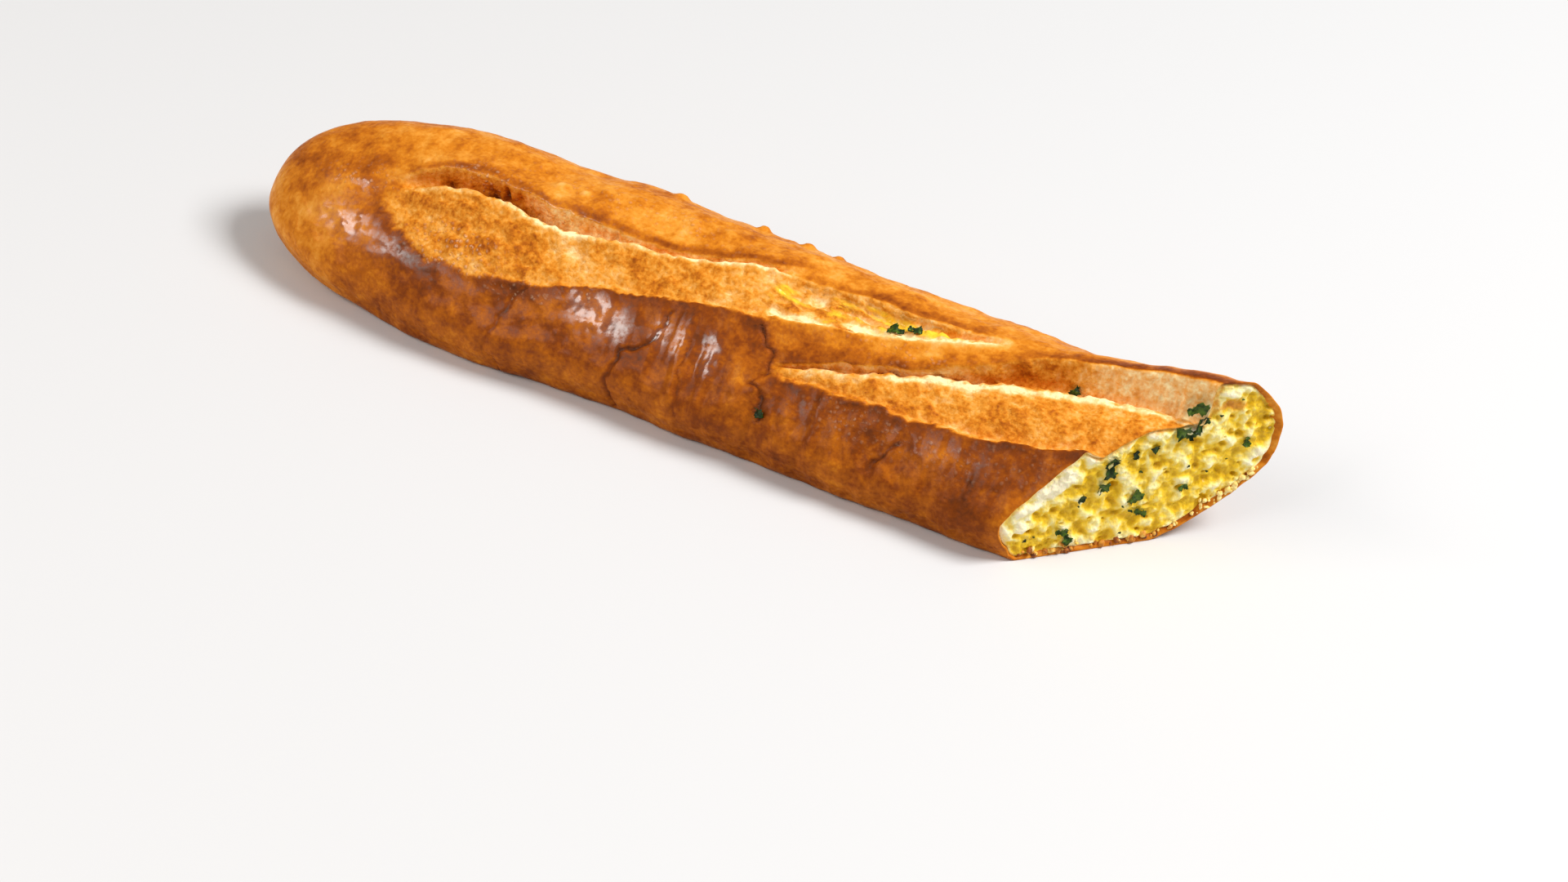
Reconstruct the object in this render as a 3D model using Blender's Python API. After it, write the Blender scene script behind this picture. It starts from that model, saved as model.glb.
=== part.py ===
"""Half a garlic baguette, cut on the bias, lying on its flat base.

One solid: the loaf with its three long slashes, the ears that stand over them, the cracks in the crust,
the torn crumb of the cut and the parsley flakes that stick to it. Metres, +Z up. The loaf lies along X
with the cut at +X. The flank leans out towards -Y, and the ears hang over the slashes from +Y.

Places on the skin are given in millimetres as (along, round): along the loaf from its middle, and round
the section from the bottom of the flank, up over the crown and down the back.
"""
import math

import bmesh
import bpy
import numpy as np
from mathutils import Matrix, Vector

MM = 0.001

# The round end and the bias cut, before the loaf is centred.
ROUND_END_X = -169 * MM
CUT_NEAR_X = 113 * MM
CUT_NEAR_Y = 1 * MM
CUT_BIAS = math.radians(47.8)
CUT_LEAN = 0.03

# A section across the loaf, as (across, up) in millimetres. What lies below 0 is pressed flat.
SECTION = (
    (4, -1), (-2, 5), (-3.5, 13), (1, 21), (8, 29.5), (16.5, 36.5), (27, 43), (38, 47.3),
    (47.5, 48), (56, 45.4), (62.5, 41.6), (65, 35.5), (62.3, 25), (54.5, 13.5), (46, 6.5), (37.5, 1.2),
    (29, -1),
)
CROWN_END = 125.0
CROWN_HEIGHT = 48.0

# How the loaf sways to the side and how much higher its crown stands, at places along it.
SWAY = ((-170, 1.5), (-128, 1.2), (-75, -1.8), (-38, 0.6), (20, -0.6), (125, -0.8), (170, 0.8))
RISE = ((-170, 0), (-70, 1.6), (0, 0.5), (50, -1), (100, -1), (130, 0.2), (170, 1))
BASE_FADE = 6.0
SECTION_CENTRE = (31 * MM, 22 * MM)

# The round end: how far along the loaf it reaches, how blunt it is (2 is an ellipse), and how far its
# tip lies from the section's centre.
END_REACH = 80 * MM
END_BLUNTNESS = 2.25
END_DRIFT = (0.5 * MM, -4 * MM)

# The slashes. edge is where the crust stops, crest is the top of the dough that swelled out, and lip is
# the ear of crust on the far side. The heights are above the plain skin, in millimetres, at places along
# the loaf: dough halfway up the swelling, top at its crest, floor in the groove behind it, ear at the lip.
# softness is how gently the crust gives way to the dough at the edge: from 5 there is no step.
SLASHES = (
    {
        "opens": (-125, 22), "ramp": 14,
        "edge": ((-125, 47), (-110, 37.5), (-65, 37), (-38, 43.5), (22, 55)),
        "crest": ((-125, 49), (-114, 53), (-103, 56.8), (-85, 59), (-55, 56.3), (-35, 59.5), (22, 74)),
        "lip": (
            (-125, 54), (-108, 65), (-92, 68.5), (-78, 68), (-68, 66), (-50, 65), (-38, 64), (-10, 69),
            (22, 79),
        ),
        "dough": ((-125, 0.2), (-80, 0.3), (22, -0.4)),
        "top": ((-125, 0.5), (-85, 2.4), (-50, 2), (22, 0)),
        "floor": ((-125, -2), (-95, -7), (-65, -7), (-45, -3), (22, -1.5)),
        "ear": ((-125, 0.5), (-75, 2.2), (-40, 1.2), (22, 0.6)),
        "ear_width": ((-125, 9), (22, 7)),
        "softness": ((-125, 6), (-88, 4), (-62, 1.2), (22, 1.2)),
    },
    {
        "opens": (4, 90), "ramp": 12,
        "edge": ((4, 53), (43, 61), (62, 66), (90, 78)),
        "crest": ((4, 56), (43, 64.5), (62, 69), (90, 78.6)),
        "lip": ((4, 71), (36, 76), (60, 77.5), (90, 80.5)),
        "dough": ((4, -1.4), (45, -2.4), (90, -0.8)),
        "top": ((4, -1.2), (40, -2.2), (90, -0.8)),
        "floor": ((4, -1.5), (40, -3.4), (70, -2.8), (90, -1)),
        "ear": ((4, 0.3), (40, 0), (90, 0.2)),
        "ear_width": ((4, 7), (90, 5)),
        "softness": ((4, 2.5), (30, 1.2), (90, 1.2)),
    },
    {
        "opens": (20, 400), "ramp": 8,
        "edge": ((20, 37.5), (81, 41), (104, 43.5), (128, 48.5), (160, 51)),
        "crest": ((20, 38.5), (45, 46.5), (65, 54), (86, 60.5), (109, 68), (142, 73.5), (160, 74)),
        "lip": ((20, 41), (38, 48.8), (63, 57), (76, 63), (87, 69.5), (98, 77), (115, 81), (160, 82.5)),
        "dough": ((20, 0), (65, -1.4), (110, -3.4), (160, -4.6)),
        "top": ((20, 0.4), (65, -1.4), (109, -4), (142, -6.4), (160, -6.8)),
        "floor": ((20, -2), (60, -5), (95, -9), (125, -9.5), (150, -7.2), (160, -7.2)),
        "ear": ((20, 0.8), (80, 0.8), (98, 0.6), (115, 1.6), (140, 5.2), (160, 7.6)),
        "ear_width": ((20, 8), (90, 7), (118, 20), (160, 22)),
        "softness": ((20, 3), (60, 1.4), (160, 1)),
    },
)
# What is below is in millimetres: how far the crust's edge stands up at an opening and the dough steps down
# beside it, how far a step reaches from its edge, where the groove is deepest between crest (0) and lip (1),
# and how far the lip leans over the groove, within what reach of it.
EDGE_STEP = 0.5
EDGE_RIM = 0.4
RIM_WIDTH = 4.0
STEP_WIDTH = 1.4
FOOT_SHARE = 0.45
LIP_OVERHANG = 1.6
LIP_REACH = 3.5

# Soft unevenness of the whole skin, as (height, size) in millimetres.
SWELLS = (0.55, 38)
RIPPLES = (0.16, 9)

# Cracks and creases in the crust: how deep they are, and a line of places on the skin. They wander a little.
CRACKS = (
    (0.4, ((-111, 6), (-112, 26), (-107, 36))),
    (0.5, ((-66, 4), (-70, 17), (-68, 27), (-62, 36.5))),
    (1.0, ((-25, 6), (-29, 17), (-26, 27), (-20, 31), (-15, 43))),
    (0.5, ((-3, 14), (-5, 26), (-6, 38))),
    (0.9, ((13, 50.5), (19, 45), (22, 38), (17, 33), (23, 30), (24, 22))),
    (0.8, ((62, 20), (68, 31))),
)
CRACK_HALF_WIDTH = 1.1
CRACK_WANDER = 0.7

# The crumb of the cut: it lies a little behind the crust's rim, and is pitted.
CRUMB_CENTRE = (33 * MM, 22 * MM)
CRUST_THICKNESS = 1.8 * MM
CRUMB_RECESS = 0.9 * MM
CRUMB_PITS = 46
PIT_RADIUS = (1.6 * MM, 4.2 * MM)
PIT_DEPTH = 1.1 * MM
PITTED_ACROSS = (0, 66 * MM)
PITTED_UP = (2 * MM, 50 * MM)
CRUMB_TEARING = 0.25 * MM
RING_CROWDING = 1.25

# Parsley: flakes on the cut as (across, up, length) and on the skin as (along, round, length).
FLAKES_ON_CUT = (
    (41.5, 47.5, 7), (42.8, 41, 6.5), (39.4, 38.6, 7), (21.5, 30, 7), (20.5, 22.5, 5), (29, 17.5, 6),
    (31, 11.5, 4), (27.5, 33, 3.2), (32.5, 34.5, 3.2), (41, 18.5, 3.4), (15, 20, 3), (11, 9, 4), (12.5, 5, 4),
    (56, 32.5, 3.6),
)
FLAKES_ON_SKIN = ((52, 67.5, 5.5), (57.5, 69.5, 4.5), (110, 75, 4.5), (23.7, 25, 4.5))
FLAKE_THICKNESS = 0.8 * MM
FLAKE_LENGTHWAYS = 4
FLAKE_ACROSS = 2
FLAKE_WIDTH = 0.75
FLAKE_LOBING = 0.3
FLAKE_WAVE = 0.09
FLAKE_CUP = 0.5
FLAKE_TIP = 0.35
FLAKE_SUNK = 0.8

# The grid that the skin is worked out on, before it is thinned to the triangles that it needs.
END_STATIONS = 46
BODY_STATIONS = 230
CROWN_COLUMNS = 150
BASE_COLUMNS = 26
CRUMB_RINGS = 24
LOAF_TRIANGLES = 10600
FLAT_WITHIN = 0.1 * MM
SEED = 5


def ease(t):
    """A smooth step from 0 to 1 as t goes from 0 to 1."""
    t = np.clip(t, 0.0, 1.0)
    return t * t * (3 - 2 * t)


def run(places, x):
    """A smooth curve through a few (along, value) places in millimetres, read at x in metres."""
    along, value = np.array(places, float).T
    slope = np.gradient(value, along)
    x = np.clip(x / MM, along[0], along[-1])
    i = np.clip(np.searchsorted(along, x) - 1, 0, len(along) - 2)
    gap = along[i + 1] - along[i]
    t = (x - along[i]) / gap
    start = value[i] * (1 + 2 * t) * (1 - t) ** 2 + value[i + 1] * t ** 2 * (3 - 2 * t)
    return start + gap * t * (1 - t) * (slope[i] * (1 - t) - slope[i + 1] * t)


class Outline:
    """A closed smooth curve through a few points, read by its length in millimetres from the first."""

    def __init__(self, points, samples=64):
        knots = np.array(points, float) * MM
        before, after, beyond = (np.roll(knots, step, axis=0) for step in (1, -1, -2))
        t = np.linspace(0, 1, samples, endpoint=False)[None, :, None]
        a, b, c, d = (row[:, None, :] for row in (before, knots, after, beyond))
        curve = 2 * b + (c - a) * t + (2 * a - 5 * b + 4 * c - d) * t ** 2
        curve = 0.5 * (curve + (3 * b - a - 3 * c + d) * t ** 3).reshape(-1, 2)
        self.curve = np.vstack([curve, curve[:1]])
        steps = np.linalg.norm(np.diff(self.curve, axis=0), axis=1)
        self.length = np.concatenate([[0], np.cumsum(steps)]) / MM
        self.girth = self.length[-1]

    def at(self, s):
        s = np.mod(s, self.girth)
        return np.stack([np.interp(s, self.length, self.curve[:, i]) for i in (0, 1)], axis=-1)

    def along(self, s, reach=1.0):
        way = self.at(s + reach) - self.at(s - reach)
        return way / np.linalg.norm(way, axis=-1, keepdims=True)


LOAF = Outline(SECTION)


def lumps(x, s, size, seed, waves=7):
    """Soft unevenness between about -1 and 1: a few crossed waves of about one size in millimetres."""
    draw = np.random.default_rng(seed)
    total = 0.0
    for _ in range(waves):
        way = draw.uniform(0, 2 * math.pi)
        pitch = size * draw.uniform(0.7, 1.5)
        start = draw.uniform(0, 2 * math.pi)
        total = total + np.sin(2 * math.pi * (x / MM * math.cos(way) + s * math.sin(way)) / pitch + start)
    return total / math.sqrt(waves)


def profile(s, places, heights):
    """A smooth line across a slash, through each height at its place round the section."""
    total = np.zeros_like(s)
    for a, b, low, high in zip(places, places[1:], heights, heights[1:]):
        total = np.where((s >= a) & (s < b), low + (high - low) * ease((s - a) / (b - a)), total)
    return total


def slash_relief(slash, x, s):
    """How far one slash lifts the skin, and how far its lip leans out over the groove."""
    start, end = slash["opens"]
    opened = ease((x / MM - start) / slash["ramp"]) * ease((end - x / MM) / slash["ramp"])
    edge, crest, lip = (run(slash[line], x) for line in ("edge", "crest", "lip"))
    dough, top, floor, ear, ear_width = (
        run(slash[line], x) for line in ("dough", "top", "floor", "ear", "ear_width"))
    foot = crest + FOOT_SHARE * (lip - crest)
    sharp = ease((5 - run(slash["softness"], x)) / 3)
    swell = 0.5 * (edge + crest)
    places = (edge - RIM_WIDTH, edge, edge + STEP_WIDTH, swell, crest, foot, lip, lip + ear_width)
    heights = (0 * x, sharp * EDGE_RIM, dough - sharp * EDGE_STEP, dough, top, floor, ear, 0 * x)
    lean = LIP_OVERHANG * ease(1 - np.abs(s - lip) / LIP_REACH)
    return opened * profile(s, places, heights), opened * lean


def crack_depth(x, s):
    """How deep in a crack each place lies, in millimetres."""
    along = x / MM + CRACK_WANDER * lumps(x, s, 7, SEED + 70)
    around = s + CRACK_WANDER * lumps(x, s, 6, SEED + 71)
    deep = np.zeros_like(s)
    for depth, line in CRACKS:
        for (x0, s0), (x1, s1) in zip(line, line[1:]):
            dx, ds = x1 - x0, s1 - s0
            t = np.clip(((along - x0) * dx + (around - s0) * ds) / (dx * dx + ds * ds), 0, 1)
            away = np.hypot(along - x0 - t * dx, around - s0 - t * ds)
            deep = np.maximum(deep, depth * ease(1 - away / CRACK_HALF_WIDTH))
    return deep


def skin(x, s):
    """The loaf's skin: across and up, in metres, at x along the loaf and s round the section."""
    t = np.clip((ROUND_END_X + END_REACH - x) / END_REACH, 0.0, 1.0)
    scale = (1 - t ** END_BLUNTNESS) ** (1 / END_BLUNTNESS)
    height = SWELLS[0] * lumps(x, s, SWELLS[1], SEED) + RIPPLES[0] * lumps(x, s, RIPPLES[1], SEED + 1)
    height = height - crack_depth(x, s)
    lean = np.zeros_like(s)
    for slash in SLASHES:
        lift, over = slash_relief(slash, x, s)
        height = height + lift
        lean = lean + over
    height = height * ease(s / BASE_FADE) * ease((LOAF.girth - s) / BASE_FADE)
    way = LOAF.along(s)
    outward = np.stack([-way[..., 1], way[..., 0]], axis=-1)
    fade = np.minimum(scale, 1)[..., None]
    place = LOAF.at(s) + MM * fade * (height[..., None] * outward - lean[..., None] * way)
    centre = np.array(SECTION_CENTRE)
    place = centre + fade * (place - centre) + (1 - fade) * np.array(END_DRIFT)
    across = place[..., 0] + MM * run(SWAY, x)
    up = place[..., 1] * (1 + run(RISE, x) / CROWN_HEIGHT)
    return np.stack([across, np.maximum(up, 0.0)], axis=-1)


def cut_x(across, up):
    """Where the bias cut lies along the loaf."""
    return CUT_NEAR_X + (across - CUT_NEAR_Y) / math.tan(CUT_BIAS) - CUT_LEAN * up


CUT_NORMAL = Vector((1, -1 / math.tan(CUT_BIAS), CUT_LEAN)).normalized()


def crumb_relief(across, up, rim_distance):
    """How far the crumb lies behind the cut: a step inside the crust, round pits and fine tearing."""
    draw = np.random.default_rng(SEED + 2)
    behind = CRUMB_RECESS * ease(rim_distance / CRUST_THICKNESS)
    for _ in range(CRUMB_PITS):
        y, z = draw.uniform(*PITTED_ACROSS), draw.uniform(*PITTED_UP)
        radius = draw.uniform(*PIT_RADIUS)
        near = 1 - np.hypot(across - y, up - z) / radius
        behind = behind + PIT_DEPTH * draw.uniform(0.3, 1) * ease(near)
    inner = ease(rim_distance / CRUST_THICKNESS)
    return behind * inner + CRUMB_TEARING * lumps(across, up / MM, 5, SEED + 3) * inner


def stations():
    """How far along each station lies, from 0 at the round end to 1 at the cut."""
    length = 0.5 * (CUT_NEAR_X + cut_x(LOAF.curve[:, 0].max(), 0)) - ROUND_END_X
    turn = np.linspace(0, math.pi / 2, END_STATIONS, endpoint=False)
    rounded = END_REACH * (1 - np.cos(turn) ** (2 / END_BLUNTNESS))
    straight = np.linspace(END_REACH, length, BODY_STATIONS)
    return np.concatenate([rounded, straight]) / length


def columns():
    """Where each column runs round the section: close together over the crown, wide under the base."""
    crown = np.linspace(0, CROWN_END, CROWN_COLUMNS, endpoint=False)
    return np.concatenate([crown, np.linspace(CROWN_END, LOAF.girth, BASE_COLUMNS)])


def loaf_grid():
    """Every point of the loaf's grid: rows along the skin, then rings of crumb to the cut's middle."""
    u, s = np.meshgrid(stations(), columns(), indexing="ij")
    x = ROUND_END_X + u * (CUT_NEAR_X - ROUND_END_X)
    for _ in range(3):
        place = skin(x, s)
        x = ROUND_END_X + u * (cut_x(place[..., 0], place[..., 1]) - ROUND_END_X)
    rim = place[-1]
    middle = np.array(CRUMB_CENTRE)
    reach = np.linalg.norm(rim - middle, axis=-1)
    rings = []
    for ring in range(1, CRUMB_RINGS + 1):
        t = 1 - (1 - ring / CRUMB_RINGS) ** RING_CROWDING
        inner = rim + t * (middle - rim)
        behind = crumb_relief(inner[:, 0], inner[:, 1], t * reach)
        flat = np.column_stack([cut_x(inner[:, 0], inner[:, 1]), inner])
        rings.append(flat - behind[:, None] * np.array(CUT_NORMAL))
    rings[-1][:] = rings[-1].mean(axis=0)
    crust = np.concatenate([x[..., None], place], axis=-1)
    return np.concatenate([crust, np.array(rings)])


def material(name, colour, roughness):
    """A plain material of one colour, roughness and no metal."""
    made = bpy.data.materials.new(name)
    made.use_nodes = True
    shader = made.node_tree.nodes["Principled BSDF"]
    shader.inputs["Base Color"].default_value = (*colour, 1)
    shader.inputs["Roughness"].default_value = roughness
    shader.inputs["Metallic"].default_value = 0
    return made


def add_object(name, bm, made):
    """A finished bmesh becomes a smooth-shaded object of the scene."""
    mesh = bpy.data.meshes.new(name)
    bm.to_mesh(mesh)
    bm.free()
    mesh.materials.append(made)
    mesh.shade_smooth()
    piece = bpy.data.objects.new(name, mesh)
    bpy.context.scene.collection.objects.link(piece)
    return piece


def make_loaf(made):
    """The loaf: a grid wrapped round the section, closed at the seam, the tip and the cut's middle."""
    points = loaf_grid()
    rows, cols = points.shape[0] - 1, points.shape[1] - 1
    bm = bmesh.new()
    bmesh.ops.create_grid(bm, x_segments=rows, y_segments=cols, size=0.5)
    for vert in bm.verts:
        vert.co = points[round((vert.co.x + 0.5) * rows), round((vert.co.y + 0.5) * cols)]
    bmesh.ops.remove_doubles(bm, verts=bm.verts, dist=0.004 * MM)
    bmesh.ops.recalc_face_normals(bm, faces=bm.faces)
    bmesh.ops.triangulate(bm, faces=bm.faces)
    return add_object("loaf", bm, made)


def make_flake(number, length, place, normal, made, draw):
    """One parsley flake: a small lobed leaf, thin and wavy, lying on the bread at its place."""
    bm = bmesh.new()
    bmesh.ops.create_grid(bm, x_segments=FLAKE_LENGTHWAYS, y_segments=FLAKE_ACROSS, size=0.5)
    lobes = draw.uniform(0, 2 * math.pi)
    for vert in bm.verts:
        t = vert.co.x + 0.5
        lobed = 1 + FLAKE_LOBING * math.sin(9 * t + lobes)
        width = FLAKE_WIDTH * math.sin(math.pi * (0.12 + 0.8 * t)) * lobed
        wave = FLAKE_WAVE * math.sin(7 * t + lobes) + FLAKE_CUP * vert.co.y ** 2 - 0.05
        vert.co = length * Vector((t - 0.5, vert.co.y * width, wave))
    bmesh.ops.triangulate(bm, faces=bm.faces)
    bmesh.ops.solidify(bm, geom=bm.faces, thickness=FLAKE_THICKNESS)
    bmesh.ops.recalc_face_normals(bm, faces=bm.faces)
    flat = Vector((0, 0, 1)).rotation_difference(normal).to_matrix().to_4x4()
    turn = Matrix.Rotation(draw.uniform(0, 2 * math.pi), 4, "Z")
    tip = Matrix.Rotation(draw.uniform(-FLAKE_TIP, FLAKE_TIP), 4, "Y")
    bmesh.ops.transform(bm, matrix=Matrix.Translation(place) @ flat @ turn @ tip, verts=bm.verts)
    return add_object(f"flake_{number:02d}", bm, made)


def flake_places():
    """Where each flake lies, which way it faces, and how long it is, in metres."""
    for across, up, length in FLAKES_ON_CUT:
        y, z = across * MM, up * MM
        sunk = CUT_NORMAL * (CRUMB_RECESS * FLAKE_SUNK)
        yield Vector((cut_x(y, z), y, z)) - sunk, CUT_NORMAL, length * MM
    for along, s, length in FLAKES_ON_SKIN:
        x, step = np.array([along * MM, along * MM + 1.5 * MM]), np.array([s, s])
        here, ahead = (Vector((a, *b)) for a, b in zip(x, skin(x, step)))
        beside = Vector((x[0], *skin(x[:1], step[:1] + 1.5)[0]))
        normal = (ahead - here).cross(beside - here).normalized()
        yield here + normal * 0.1 * MM, normal, length * MM


def bake(piece):
    """Give a piece the mesh that its modifiers make of it, in triangles."""
    evaluated = piece.evaluated_get(bpy.context.evaluated_depsgraph_get())
    bm = bmesh.new()
    bm.from_mesh(evaluated.to_mesh())
    evaluated.to_mesh_clear()
    piece.modifiers.clear()
    keep_largest(bm)
    bmesh.ops.triangulate(bm, faces=bm.faces)
    bm.to_mesh(piece.data)
    bm.free()


def fuse(piece, toppings):
    """Join a collection of small pieces to the one that carries them, and remove them.

    The solver is MANIFOLD, because EXACT leaves edges with four faces where a wavy flake grazes the crumb.
    """
    join = piece.modifiers.new("toppings", "BOOLEAN")
    join.operation = "UNION"
    join.operand_type = "COLLECTION"
    join.collection = toppings
    join.solver = "MANIFOLD"
    bake(piece)
    for topping in list(toppings.objects):
        bpy.data.objects.remove(topping)
    bpy.data.collections.remove(toppings)


def thin(piece, triangles):
    """Keep only the triangles that the shape needs: few on the plain crust, many round the slashes."""
    fewer = piece.modifiers.new("fewer triangles", "DECIMATE")
    fewer.ratio = triangles / len(piece.data.polygons)
    bake(piece)


def keep_largest(bm):
    """Drop any loose scrap that joining left, and keep the largest body."""
    bm.verts.ensure_lookup_table()
    left, bodies = set(bm.verts), []
    while left:
        body, edge = set(), [next(iter(left))]
        while edge:
            vert = edge.pop()
            if vert in body:
                continue
            body.add(vert)
            edge += [link.other_vert(vert) for link in vert.link_edges]
        bodies.append(body)
        left -= body
    largest = max(bodies, key=len)
    bmesh.ops.delete(bm, geom=[v for v in bm.verts if v not in largest], context="VERTS")


def set_down(piece):
    """Put the loaf on the floor, with the middle of its box over the origin."""
    bm = bmesh.new()
    bm.from_mesh(piece.data)
    for vert in bm.verts:
        if vert.co.z < FLAT_WITHIN:
            vert.co.z = 0.0
    low = [min(vert.co[i] for vert in bm.verts) for i in (0, 1)]
    high = [max(vert.co[i] for vert in bm.verts) for i in (0, 1)]
    shift = Vector([-0.5 * (a + b) for a, b in zip(low, high)] + [0])
    bmesh.ops.translate(bm, verts=bm.verts, vec=shift)
    bm.to_mesh(piece.data)
    bm.free()
    piece.data.set_sharp_from_angle(angle=math.radians(50))


def build():
    """Clear the scene and make the garlic bread."""
    for old in list(bpy.data.objects):
        bpy.data.objects.remove(old)
    crust = material("baked crust", (0.52, 0.22, 0.06), 0.42)
    loaf = make_loaf(crust)
    toppings = bpy.data.collections.new("parsley")
    bpy.context.scene.collection.children.link(toppings)
    draw = np.random.default_rng(SEED + 20)
    for number, (place, normal, length) in enumerate(flake_places()):
        flake = make_flake(number, length, place, normal, crust, draw)
        bpy.context.scene.collection.objects.unlink(flake)
        toppings.objects.link(flake)
    fuse(loaf, toppings)
    thin(loaf, LOAF_TRIANGLES)
    set_down(loaf)


build()
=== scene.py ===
"""Garlic bread: half a baguette with a round end, three slashes and a bias cut, soaked with garlic butter.

Metres, +Z up. The loaf lies along X with the cut at +X. Places on its skin are (along, round) in
millimetres: along the loaf, and round the section from the bottom of the near flank, up over the crown and
down the back. Places on the cut are (across, up) in millimetres.
"""

import math

import bmesh
import bpy
import numpy as np
from mathutils import Matrix, Quaternion, Vector, noise


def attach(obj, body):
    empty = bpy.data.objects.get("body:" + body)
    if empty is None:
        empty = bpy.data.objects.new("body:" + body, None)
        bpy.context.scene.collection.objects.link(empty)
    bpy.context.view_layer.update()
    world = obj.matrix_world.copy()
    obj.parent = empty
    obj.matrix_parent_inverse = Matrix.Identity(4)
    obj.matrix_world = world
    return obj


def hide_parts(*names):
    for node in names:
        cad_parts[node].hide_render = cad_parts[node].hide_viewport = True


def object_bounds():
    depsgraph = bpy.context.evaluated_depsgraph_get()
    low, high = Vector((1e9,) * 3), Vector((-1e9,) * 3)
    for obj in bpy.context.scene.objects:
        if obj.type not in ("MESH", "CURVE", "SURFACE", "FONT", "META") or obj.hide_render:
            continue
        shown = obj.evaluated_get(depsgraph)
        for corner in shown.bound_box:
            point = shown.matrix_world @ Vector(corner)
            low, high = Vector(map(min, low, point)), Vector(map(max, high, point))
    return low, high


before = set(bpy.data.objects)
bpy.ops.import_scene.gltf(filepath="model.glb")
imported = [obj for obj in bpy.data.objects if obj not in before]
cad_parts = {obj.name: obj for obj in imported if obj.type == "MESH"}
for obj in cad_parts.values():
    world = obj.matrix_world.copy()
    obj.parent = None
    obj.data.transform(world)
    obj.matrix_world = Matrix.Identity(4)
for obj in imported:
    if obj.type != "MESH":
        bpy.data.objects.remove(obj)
cad_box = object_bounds()

# ---------------------------------------------------------------------------------------------------------
# The crust. White dough rolled long, slashed three times and baked on a flat stone: the skin browned and
# blistered, the slashes tore open, and the dough that swelled out of them stayed paler. It is one closed
# shell with a shallow hollow behind the cut, which the crumb fills.
# ---------------------------------------------------------------------------------------------------------
MM = 0.001
SEED = 5

# The round end and the bias cut, before the loaf is centred. BEHIND_CUT leads one unit deeper behind the cut,
# but straight back along the loaf, so that what lies behind the cut stays inside the crust.
ROUND_END_X = -169 * MM
CUT_NEAR_X = 113 * MM
CUT_NEAR_Y = 1 * MM
CUT_BIAS = math.radians(47.8)
CUT_LEAN = 0.03
CUT_NORMAL = Vector((1, -1 / math.tan(CUT_BIAS), CUT_LEAN)).normalized()
BEHIND_CUT = Vector((-1 / CUT_NORMAL.x, 0, 0))

# A section across the loaf, as (across, up). What lies below 0 is pressed flat.
SECTION = (
    (4, -1), (-2, 5), (-3.5, 13), (1, 21), (8, 29.5), (16.5, 36.5), (27, 43), (38, 47.3), (47.5, 48),
    (56, 45.4), (62.5, 41.6), (65, 35.5), (62.3, 25), (54.5, 13.5), (46, 6.5), (37.5, 1.2), (29, -1),
)
SECTION_CENTRE = np.array((31 * MM, 22 * MM))
CROWN_HEIGHT = 48.0

# The loaf sways to and fro across and rises and falls along its length, and its skin swells and ripples, each
# (height, width). The round end closes over END_REACH towards a tip a little off the section's middle.
SWAY = ((-170, 1.5), (-128, 1.2), (-75, -1.8), (-38, 0.6), (20, -0.6), (125, -0.8), (170, 0.8))
RISE = ((-170, 0), (-70, 1.6), (0, 0.5), (50, -1), (100, -1), (130, 0.2), (170, 1))
SWELLS = (0.55, 38)
RIPPLES = (0.16, 9)
BASE_FADE = 6.0
END_REACH = 80 * MM
END_BLUNTNESS = 2.25
END_DRIFT = np.array((0.5 * MM, -4 * MM))

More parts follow.
